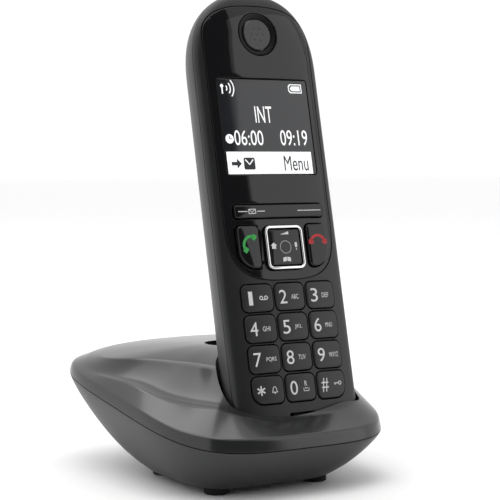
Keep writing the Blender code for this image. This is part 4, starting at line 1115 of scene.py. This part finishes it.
    def build_softkey(self) -> None:
        """Softkey bar with its printed lines and envelope."""
        outline = self.bar_outline(self.softkey_size, self.softkey_corner, self.softkey_centre)
        bar = bevelled(prism(outline, -self.softkey_proud, self.key_depth), 0.4, 4)
        self.add("softkey_bar_cap", bar, Finish.PANEL, "gloss_panel", ["softkey_bar"], "softkey_bar")
        z = self.softkey_centre
        marks = [stroke([(-16.2, z), (-12.6, z)], 0.28), stroke([(-8.9, z), (-5.7, z)], 0.28),
                 stroke([(7.3, z), (16.7, z)], 0.28),
                 flat_plate([rounded(2.9, 1.7, (0.2,) * 4, (-10.75, z)),
                             rounded(2.4, 1.2, (0.1,) * 4, (-10.75, z))]),
                 stroke([(-11.9, z + 0.6), (-10.75, z - 0.3), (-9.6, z + 0.6)], 0.25)]
        marks = self.figure(join(marks), -self.softkey_proud - PRINT_LIFT)
        self.add("softkey_bar_print", marks, Finish.WHITE_PRINT, "gloss_panel", (), "softkey_bar")

    def build_navigation(self) -> None:
        """Bright frame round the navigation pad and its four icons."""
        outlines = [self.nav_outline(), self.nav_outline(-self.nav_rim)]
        ring = self.figure(flat_plate(outlines, self.nav_proud + self.front_wall, 0.28), -self.nav_proud)
        self.add("nav_frame", ring, Finish.CHROME, "bright_chrome", ["nav_ring"])
        grow = -self.nav_rim - self.key_gap
        face = -self.nav_proud + 0.1
        pad = bevelled(prism(self.nav_outline(grow), face, self.key_depth), 0.5, 4)
        self.add("nav_pad_cap", pad, Finish.PANEL, "gloss_panel", ["nav_pad"], "nav_pad")
        z = self.nav_centre
        icons = [
            flat_plate([[(-1.7, z + 4.3), (1.7, z + 4.3), (1.7, z + 5.3)]]),
            flat_plate([[(-5.4, z - 0.5), (-3.8, z - 0.5), (-3.8, z + 0.6), (-3.3, z + 0.6), (-4.6, z + 1.6),
                         (-5.9, z + 0.6), (-5.4, z + 0.6)]]),
            flat_plate([rounded(0.9, 1.7, (0.42,) * 4, (4.2, z + 0.7))]),
            stroke([(4.2, z - 0.4), (4.2, z - 1.1)], 0.3),
            flat_plate([[(-1.5, z - 5.0), (-0.1, z - 4.7), (-0.1, z - 3.3), (-1.5, z - 3.6)]]),
            flat_plate([[(0.1, z - 4.7), (1.5, z - 5.0), (1.5, z - 3.6), (0.1, z - 3.3)]]),
        ]
        marks = self.figure(join(icons), face - PRINT_LIFT)
        self.add("nav_pad_print", marks, Finish.WHITE_PRINT, "gloss_panel", (), "nav_pad")
        circle = self.figure(hoop(2.1, 0.22, (0.0, z)), face - PRINT_LIFT)
        self.add("nav_pad_circle", circle, Finish.FAINT_PRINT, "gloss_panel", (), "nav_pad")

    def dress_inside(self) -> None:
        """Finishes for the inner parts that keep their CAD shape."""
        inside = {
            Finish.BOARD: ("handset_board",),
            Finish.SPRING: ("cell_minus_plate_left", "cell_minus_plate_right", "cell_plus_plate_left",
                            "cell_plus_plate_right", "charge_pad_left", "charge_pad_right",
                            "handset_antenna"),
            Finish.SLEEVE: ("battery_cell_left", "battery_cell_right"),
            Finish.SPEAKER: ("earpiece_speaker", "ringer_speaker"),
            Finish.GAP_DARK: ("microphone",),
            Finish.SILICONE: ("keypad_mat",),
            Finish.SCREEN: ("lcd_module",),
            Finish.SOCKET: ("nav_stem",),
        }
        dress_all(inside)


# --------------------------------------------------------------------------- base

Control = tuple[float, ...]


def closed_curve(controls: Sequence[Control], angle: float, column: int = 1) -> float:
    """Smooth closed curve through control values.

    Args:
        controls: rows that start with a direction in degrees, rising from -180.
        angle: the direction asked for, in degrees.
        column: which value of the rows is wanted.

    Returns:
        The value in that direction.
    """
    count = len(controls)
    after = next((index for index, row in enumerate(controls) if row[0] > angle), count)
    picks = []
    for step in (-2, -1, 0, 1):
        turn, index = divmod(after + step, count)
        picks.append((controls[index][0] + 360.0 * turn, controls[index][column]))
    (angle0, value0), (angle1, value1), (angle2, value2), (angle3, value3) = picks
    span = angle2 - angle1
    share = (angle - angle1) / span
    slope1 = (value2 - value0) / (angle2 - angle0) * span
    slope2 = (value3 - value1) / (angle3 - angle1) * span
    square, cube = share ** 2, share ** 3
    return ((2 * cube - 3 * square + 1) * value1 + (cube - 2 * square + share) * slope1
            + (3 * square - 2 * cube) * value2 + (cube - square) * slope2)


def eased_curve(controls: Sequence[Control], angle: float, column: int = 1, reach: float = 9.0) -> float:
    """The closed curve evened out over a few degrees on each side."""
    total, weights = 0.0, 0.0
    for step in range(-3, 4):
        weight = 1.0 - abs(step) / 4
        turned_angle = (angle + reach * step / 3 + 178.0) % 360.0 - 178.0
        total += weight * closed_curve(controls, turned_angle, column)
        weights += weight
    return total / weights


def round_corners(path: Sequence[Vector], radii: dict[int, float], steps: int = 6) -> list[Vector]:
    """Path with some corners replaced by short curves.

    Args:
        path: points along the path.
        radii: how far from a corner its curve starts, by the corner's place in the path.
        steps: points on each curve, less one.

    Returns:
        The new path.
    """
    made = []
    for index, spot in enumerate(path):
        if index not in radii:
            made.append(spot)
            continue
        before, after = path[index - 1] - spot, path[index + 1] - spot
        start = spot + before.normalized() * min(radii[index], before.length * 0.45)
        end = spot + after.normalized() * min(radii[index], after.length * 0.45)
        for step in range(steps + 1):
            share = step / steps
            made.append((1 - share) ** 2 * start + 2 * share * (1 - share) * spot + share ** 2 * end)
    return made


@dataclass
class BaseForm:
    """Outer form of the base: a band and collar, a scooped step and a low dome over a tapering bowl."""

    width: float = 86.8
    depth: float = 107.0
    flare: float = 0.05
    roundness: float = 4.0
    seam_front: float = 15.5
    seam_slope: float = 0.175
    band_front: float = 4.0
    band_rear: float = 2.4
    band_inset: float = 0.8
    foot_size: Point = (53.0, 50.0)
    foot_shift: Point = (-5.0, -18.0)
    underside: float = 2.4
    dome: float = 43.6
    gap: float = 0.3
    crest: tuple[Control, ...] = (
        (-178.0, 6.6, 32.0), (-163.0, 7.4, 30.4), (-151.0, 9.6, 28.9), (-140.0, 13.4, 28.0),
        (-131.0, 15.2, 27.7), (-121.0, 13.2, 27.8), (-113.0, 11.8, 25.6), (-103.0, 11.4, 23.7),
        (-90.0, 11.4, 23.1), (-78.0, 11.6, 23.3), (-67.0, 11.6, 24.0), (-57.0, 10.0, 25.7),
        (-46.0, 7.4, 27.2), (-38.0, 6.0, 28.6), (-22.0, 4.0, 31.0), (0.0, 4.0, 34.0),
        (30.0, 4.6, 36.8), (60.0, 6.5, 39.0), (90.0, 8.0, 39.8), (115.0, 7.5, 39.0),
        (130.0, 5.6, 37.0), (141.0, 4.4, 34.8), (150.0, 4.0, 33.2), (160.0, 4.6, 33.0),
    )
    crease: tuple[Control, ...] = (
        (-178.0, 18.2, 39.3), (-157.0, 22.6, 39.1), (-133.0, 32.0, 38.7), (-121.0, 31.0, 38.4),
        (-100.0, 26.0, 38.2), (-80.0, 26.0, 38.0), (-60.0, 22.0, 36.4), (-44.0, 12.0, 32.8),
        (-30.0, 9.0, 33.0), (-14.0, 8.5, 35.4), (10.0, 9.5, 38.6), (35.0, 13.0, 40.6),
        (60.0, 16.0, 41.6), (90.0, 17.0, 42.0), (115.0, 15.0, 41.0), (130.0, 12.0, 38.9),
        (141.0, 9.4, 37.2), (149.0, 10.2, 38.2), (161.0, 14.2, 39.2),
    )
    scoop: tuple[Control, ...] = (
        (-178.0, 0.24), (-150.0, 0.22), (-121.0, 0.24), (-90.0, 0.4), (-60.0, 0.5), (-20.0, 0.58),
        (30.0, 0.62), (90.0, 0.66), (125.0, 0.62), (141.0, 0.5), (158.0, 0.32),
    )

    def outline(self, angle: float, size: Point, flare: float) -> Vector:
        """Point of a flared superellipse in a direction from its middle."""
        across, along = math.cos(angle), math.sin(angle)
        half_width, half_depth = size[0] / 2, size[1] / 2
        reach = half_depth
        for _ in range(8):
            wide = half_width * (1 + flare * reach * along / half_depth)
            total = abs(across / wide) ** self.roundness + abs(along / half_depth) ** self.roundness
            reach = total ** (-1 / self.roundness)
        return Vector((reach * across, reach * along))

    def seam(self, along: float) -> float:
        """Height of the sloping seam between the two shells."""
        return self.seam_front + self.seam_slope * (along + self.depth / 2)

    @staticmethod
    def shrink(spot: Vector, inset: float) -> Vector:
        """Move a plan point towards the middle."""
        return spot * max(1 - inset / spot.length, 0.02)

    def upper_path(self, angle: float, inset: float, drop: float) -> list[Vector]:
        """Line over the upper shell from the seam to the dome in one direction."""
        degrees = math.degrees(angle)
        edge = self.outline(angle, (self.width, self.depth), self.flare)
        outer = self.shrink(edge, inset)
        rear_share = (edge.y + self.depth / 2) / self.depth
        band = self.band_front + (self.band_rear - self.band_front) * rear_share
        crest = self.shrink(outer, eased_curve(self.crest, degrees, 1))
        crest_height = eased_curve(self.crest, degrees, 2) - drop
        crease = self.shrink(outer, eased_curve(self.crease, degrees, 1, 16.0))
        crease_height = eased_curve(self.crease, degrees, 2, 16.0) - drop
        bend = math.log(eased_curve(self.scoop, degrees, 1, 24.0)) / math.log(0.5)
        band_spot = self.shrink(outer, self.band_inset)
        path = [
            Vector((*outer, self.seam(outer.y))),
            Vector((*self.shrink(outer, 0.05), self.seam(outer.y) + 0.5)),
            Vector((*band_spot, self.seam(edge.y) + band - drop)),
            Vector((*crest, crest_height)),
        ]
        scoop_steps = 9
        for step in range(1, scoop_steps + 1):
            level = step / scoop_steps
            height = crest_height + (crease_height - crest_height) * level ** bend
            path.append(Vector((*crest.lerp(crease, level), height)))
        dome_steps = 10
        for step in range(1, dome_steps):
            share = 1 - step / dome_steps
            height = crease_height + (self.dome - drop - crease_height) * (1 - share ** 2)
            path.append(Vector((*(crease * share), height)))
        return round_corners(path, {2: 0.9, 3: 1.1, 3 + scoop_steps: 1.5})

    def upper(self, inset: float = 0.0, drop: float = 0.0, count: int = 240, below: float = 0.0) -> Shape:
        """Solid under the upper shell's surface; below carries its foot under the seam."""
        angles = [2 * math.pi * index / count - math.pi for index in range(count)]
        paths = [self.upper_path(angle, inset, drop) for angle in angles]
        sections = [list(section) for section in zip(*paths)]
        if below:
            sections.insert(0, [spot - Vector((0, 0, below)) for spot in sections[0]])
        return loft(sections)

    def lower(self, inset: float = 0.0, lift: float = 0.0, count: int = 200, above: float = 0.0,
              steps: int = 26) -> Shape:
        """Solid of the lower shell; above carries its top over the seam."""
        sections = []
        for step in range(steps + 1):
            fall = 1 - (1 - step / steps) ** 1.3
            draw_in = 0.8 * fall ** 1.25 + 0.2 * fall ** 6
            ring = []
            for index in range(count):
                angle = 2 * math.pi * index / count
                top = self.shrink(self.outline(angle, (self.width, self.depth), self.flare), inset)
                foot = self.shrink(self.outline(angle, self.foot_size, 0.0), inset) + Vector(self.foot_shift)
                spot = top.lerp(foot, draw_in)
                seam = self.seam(top.y) - self.gap
                ring.append(Vector((*spot, seam + (self.underside + lift - seam) * fall)))
            sections.append(ring)
        if above:
            sections.insert(0, [spot + Vector((0, 0, above)) for spot in sections[0]])
        return loft(sections[::-1])


@dataclass
class Base:
    """The charging base."""

    handset: Handset
    form: BaseForm = field(default_factory=BaseForm)
    wall: float = 2.0
    well_clearance: float = 1.2
    well_wall: float = 1.6
    button_radius: float = 6.2
    button_place: Point = (0.5, 1.5)
    button_dish: float = 0.5
    button_skirt: float = 5.0
    button_stem: float = 2.0
    foot_radius: float = 4.2
    screw_hole: float = 1.35
    screw_head_depth: float = 3.4
    screw_hole_depth: float = 9.0

    def well(self, grow: float, floor: float) -> Shape:
        """The handset's bottom end grown all round and carried straight up."""
        form = self.handset.form
        bends = [form.bottom_reach * (1 - math.cos(math.radians(turn))) - grow for turn in range(30, 91, 6)]
        heights = [floor] + [height for height in bends if height > floor + 0.3] + [form.length * 0.55]
        shape = loft([form.section(height, -grow, 120) for height in heights])
        bmesh.ops.scale(shape, verts=shape.verts, vec=(MM, MM, MM))
        bmesh.ops.transform(shape, matrix=self.handset.place, verts=shape.verts)
        bmesh.ops.scale(shape, verts=shape.verts, vec=(1 / MM, 1 / MM, 1 / MM))
        return shape

    def build(self) -> None:
        """Build and dress every piece of the base."""
        self.build_upper()
        self.build_lower()
        self.build_button()
        self.build_feet()
        self.dress_inside()

    def build_upper(self) -> None:
        """Upper shell with the cradle well and the button's hole."""
        gap = self.handset.gap
        shell = carve(self.form.upper(), [self.form.upper(self.wall, self.wall, 96, 3.0)])
        lining = carve(self.well(self.well_clearance + self.well_wall, -gap - self.well_wall),
                       [self.form.upper(self.wall * 0.6, self.wall * 0.5, 120, 20.0)], Cut.KEEP_COMMON)
        shell = carve(shell, [lining], Cut.ADD)
        cuts = [self.well(self.well_clearance, -gap)]
        x, y = self.button_place
        cuts.append(prism(ring_outline(self.button_radius + self.handset.key_gap, (x, y), 96),
                          self.form.dome - 8.0, BEYOND, Axis.UP))
        shell = carve(shell, cuts)
        piece("base_upper_skin", shell, Finish.BASE_TOP, "base", ["base_top_shell"])

    def build_lower(self) -> None:
        """Lower shell with its socket windows and foot recesses."""
        gap = self.handset.gap
        tools = [self.form.lower(self.wall, self.wall, 96, 6.0, 14)]
        for x, y in self.foot_spots():
            recess = ring_outline(self.foot_radius + gap, (x, y))
            tools.append(prism(recess, 0.0, self.form.underside + 0.8, Axis.UP))
        for node in ("power_socket", "line_socket"):
            low, high = (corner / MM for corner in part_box(node))
            tools.append(block((low.x - gap, low.y - gap, low.z - gap),
                               (high.x + gap, self.form.depth, high.z + gap)))
        for number in (1, 2):
            low, high = (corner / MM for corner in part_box(f"base_screw_{number}"))
            middle = ((low.x + high.x) / 2, (low.y + high.y) / 2)
            head = ring_outline((high.x - low.x) / 2 + gap, middle)
            tools.append(prism(head, 0.0, self.screw_head_depth, Axis.UP))
            hole = ring_outline(self.screw_hole, middle, 24)
            tools.append(prism(hole, 0.0, self.screw_hole_depth, Axis.UP))
        shell = carve(self.form.lower(), tools)
        piece("base_lower_skin", shell, Finish.BASE_LOW, "base", ["base_bottom_shell"])

    def foot_spots(self) -> list[Point]:
        """Centres of the rubber feet, from their CAD boxes."""
        spots = []
        for number in range(1, 5):
            low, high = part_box(f"rubber_foot_{number}")
            spots.append(((low.x + high.x) / 2 / MM, (low.y + high.y) / 2 / MM))
        return spots

    def build_button(self) -> None:
        """Dished paging button on its stem."""
        low, high = (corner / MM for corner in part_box("paging_button"))
        top, radius = high.z, self.button_radius
        flange = (high.x - low.x) / 2
        dish, skirt, stem = self.button_dish, top - self.button_skirt, self.button_stem
        flange_foot = skirt - 1.0
        profile = [(0.0, top - dish)]
        profile += [(radius * share, top - dish * (1 - share ** 2)) for share in (0.3, 0.55, 0.75, 0.88)]
        profile += [(radius - 0.4, top), (radius - 0.12, top - 0.12), (radius, top - 0.4),
                    (radius, skirt), (flange, skirt), (flange, flange_foot), (stem, flange_foot),
                    (stem, low.z), (0.0, low.z)]
        shape = turned(profile, (*self.button_place, 0.0), Axis.UP, 96)
        piece("paging_button_cap", shape, Finish.BUTTON, "paging_button", ["paging_button"])

    def build_feet(self) -> None:
        """Rubber feet with a rounded sole."""
        for number, spot in enumerate(self.foot_spots(), start=1):
            node = f"rubber_foot_{number}"
            low, high = (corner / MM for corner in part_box(node))
            radius = self.foot_radius
            profile = [(0.0, high.z), (radius, high.z), (radius, low.z + 0.5),
                       (radius - 0.15, low.z + 0.15), (radius - 0.5, low.z), (radius * 0.55, low.z),
                       (radius * 0.5, low.z + 0.25), (0.0, low.z + 0.3)]
            sole = turned(profile, (*spot, 0.0))
            piece(f"{node}_sole", sole, Finish.RUBBER, "base", [node])

    def dress_inside(self) -> None:
        """Finishes for the parts that keep their CAD shape."""
        inside = {
            Finish.BOARD: ("base_board",),
            Finish.SPRING: ("base_antenna", "charge_spring_left", "charge_spring_right"),
            Finish.SOCKET: ("power_socket", "line_socket"),
            Finish.STEEL: ("base_screw_1", "base_screw_2"),
        }
        dress_all(inside)


# --------------------------------------------------------------------------- studio

@dataclass(frozen=True)
class SoftBox:
    """Rectangular soft light: where it stands, what it points at, its size and its watts."""

    name: str
    spot: tuple[float, float, float]
    aim: tuple[float, float, float]
    size: Point
    energy: float


@dataclass
class Studio:
    """Pale floor, soft lights and the camera."""

    eye: tuple[float, float, float] = (-0.26425, -0.44736, 0.10873)
    heading: float = -31.56
    pitch: float = -3.58
    lens: float = 107.2
    floor_size: float = 6.0
    surroundings: float = 1.05
    flag_radius: float = 1.5
    flag_height: float = 2.2
    flag_from: float = -52.0
    flag_to: float = 29.0
    lights: tuple[SoftBox, ...] = (
        SoftBox("overhead_light", (-0.15, 0.25, 1.2), (0.0, 0.0, 0.0), (1.2, 1.2), 8.5),
        SoftBox("front_right_light", (0.66, -0.66, 0.33), (0.0, 0.0, 0.09), (0.56, 0.9), 1.0),
    )

    def build(self) -> None:
        """Set up the whole studio."""
        self.build_camera()
        self.build_floor()
        self.build_world()
        self.build_flag()
        for light in self.lights:
            self.build_light(light)

    def build_camera(self) -> None:
        """Camera that looks slightly down at the keypad from its left."""
        data = bpy.data.cameras.new("camera")
        data.sensor_width = 36.0
        data.lens = self.lens
        data.clip_start = 0.01
        made = bpy.data.objects.new("camera", data)
        made.location = self.eye
        made.rotation_euler = (math.radians(90.0 + self.pitch), 0.0, math.radians(self.heading))
        bpy.context.scene.collection.objects.link(made)
        bpy.context.scene.camera = made

    def build_floor(self) -> None:
        """Plain pale floor."""
        shape = bmesh.new()
        bmesh.ops.create_grid(shape, x_segments=1, y_segments=1, size=self.floor_size)
        mesh = bpy.data.meshes.new("floor")
        shape.to_mesh(mesh)
        shape.free()
        shader = Shader("floor_paint")
        shader.put("Base Color", shader.blend(shader.noise(80.0), (0.91, 0.91, 0.91), (0.93, 0.93, 0.93)))
        shader.put("Roughness", 0.6)
        mesh.materials.append(shader.material)
        made = bpy.data.objects.new("floor", mesh)
        bpy.context.scene.collection.objects.link(made)

    def build_world(self) -> None:
        """Even white surroundings."""
        world = bpy.data.worlds.new("studio")
        world.use_nodes = True
        back = world.node_tree.nodes["Background"]
        back.inputs["Color"].default_value = (1.0, 1.0, 1.0, 1.0)
        back.inputs["Strength"].default_value = self.surroundings
        bpy.context.scene.world = world
        bpy.context.scene.view_settings.view_transform = "Standard"

    def build_flag(self) -> None:
        """Dark curved card in front that keeps the front faces deep; the camera doesn't see it."""
        shape = bmesh.new()
        start = math.radians(self.flag_from)
        spot = Vector((math.sin(start), -math.cos(start), 0.0)) * self.flag_radius
        corners = [shape.verts.new(spot), shape.verts.new(spot + Vector((0.0, 0.0, self.flag_height)))]
        edge = shape.edges.new(corners)
        bmesh.ops.spin(shape, geom=corners + [edge], axis=(0, 0, 1), cent=(0, 0, 0), steps=32,
                       angle=math.radians(self.flag_to - self.flag_from))
        mesh = bpy.data.meshes.new("flag")
        shape.to_mesh(mesh)
        shape.free()
        shader = Shader("flag_cloth")
        shader.put("Base Color", shader.blend(shader.noise(40.0), (0.02, 0.02, 0.02), (0.03, 0.03, 0.03)))
        shader.put("Roughness", 0.9)
        mesh.materials.append(shader.material)
        made = bpy.data.objects.new("flag", mesh)
        made.visible_camera = False
        bpy.context.scene.collection.objects.link(made)

    def build_light(self, light: SoftBox) -> None:
        """Stand a soft box in the studio."""
        data = bpy.data.lights.new(light.name, "AREA")
        data.shape = "RECTANGLE"
        data.size, data.size_y = light.size
        data.energy = light.energy
        made = bpy.data.objects.new(light.name, data)
        made.location = light.spot
        towards = Vector(light.aim) - Vector(light.spot)
        made.rotation_euler = towards.to_track_quat("-Z", "Y").to_euler()
        bpy.context.scene.collection.objects.link(made)


def write_sizes() -> None:
    """Bring the scene up to date."""
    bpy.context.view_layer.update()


def main() -> None:
    """Build the handset, the base and the studio."""
    logging.basicConfig(level=logging.INFO, format="%(name)s: %(message)s")
    handset = Handset()
    handset.build()
    Base(handset).build()
    Studio().build()
    write_sizes()


if __name__ == "__main__":
    main()
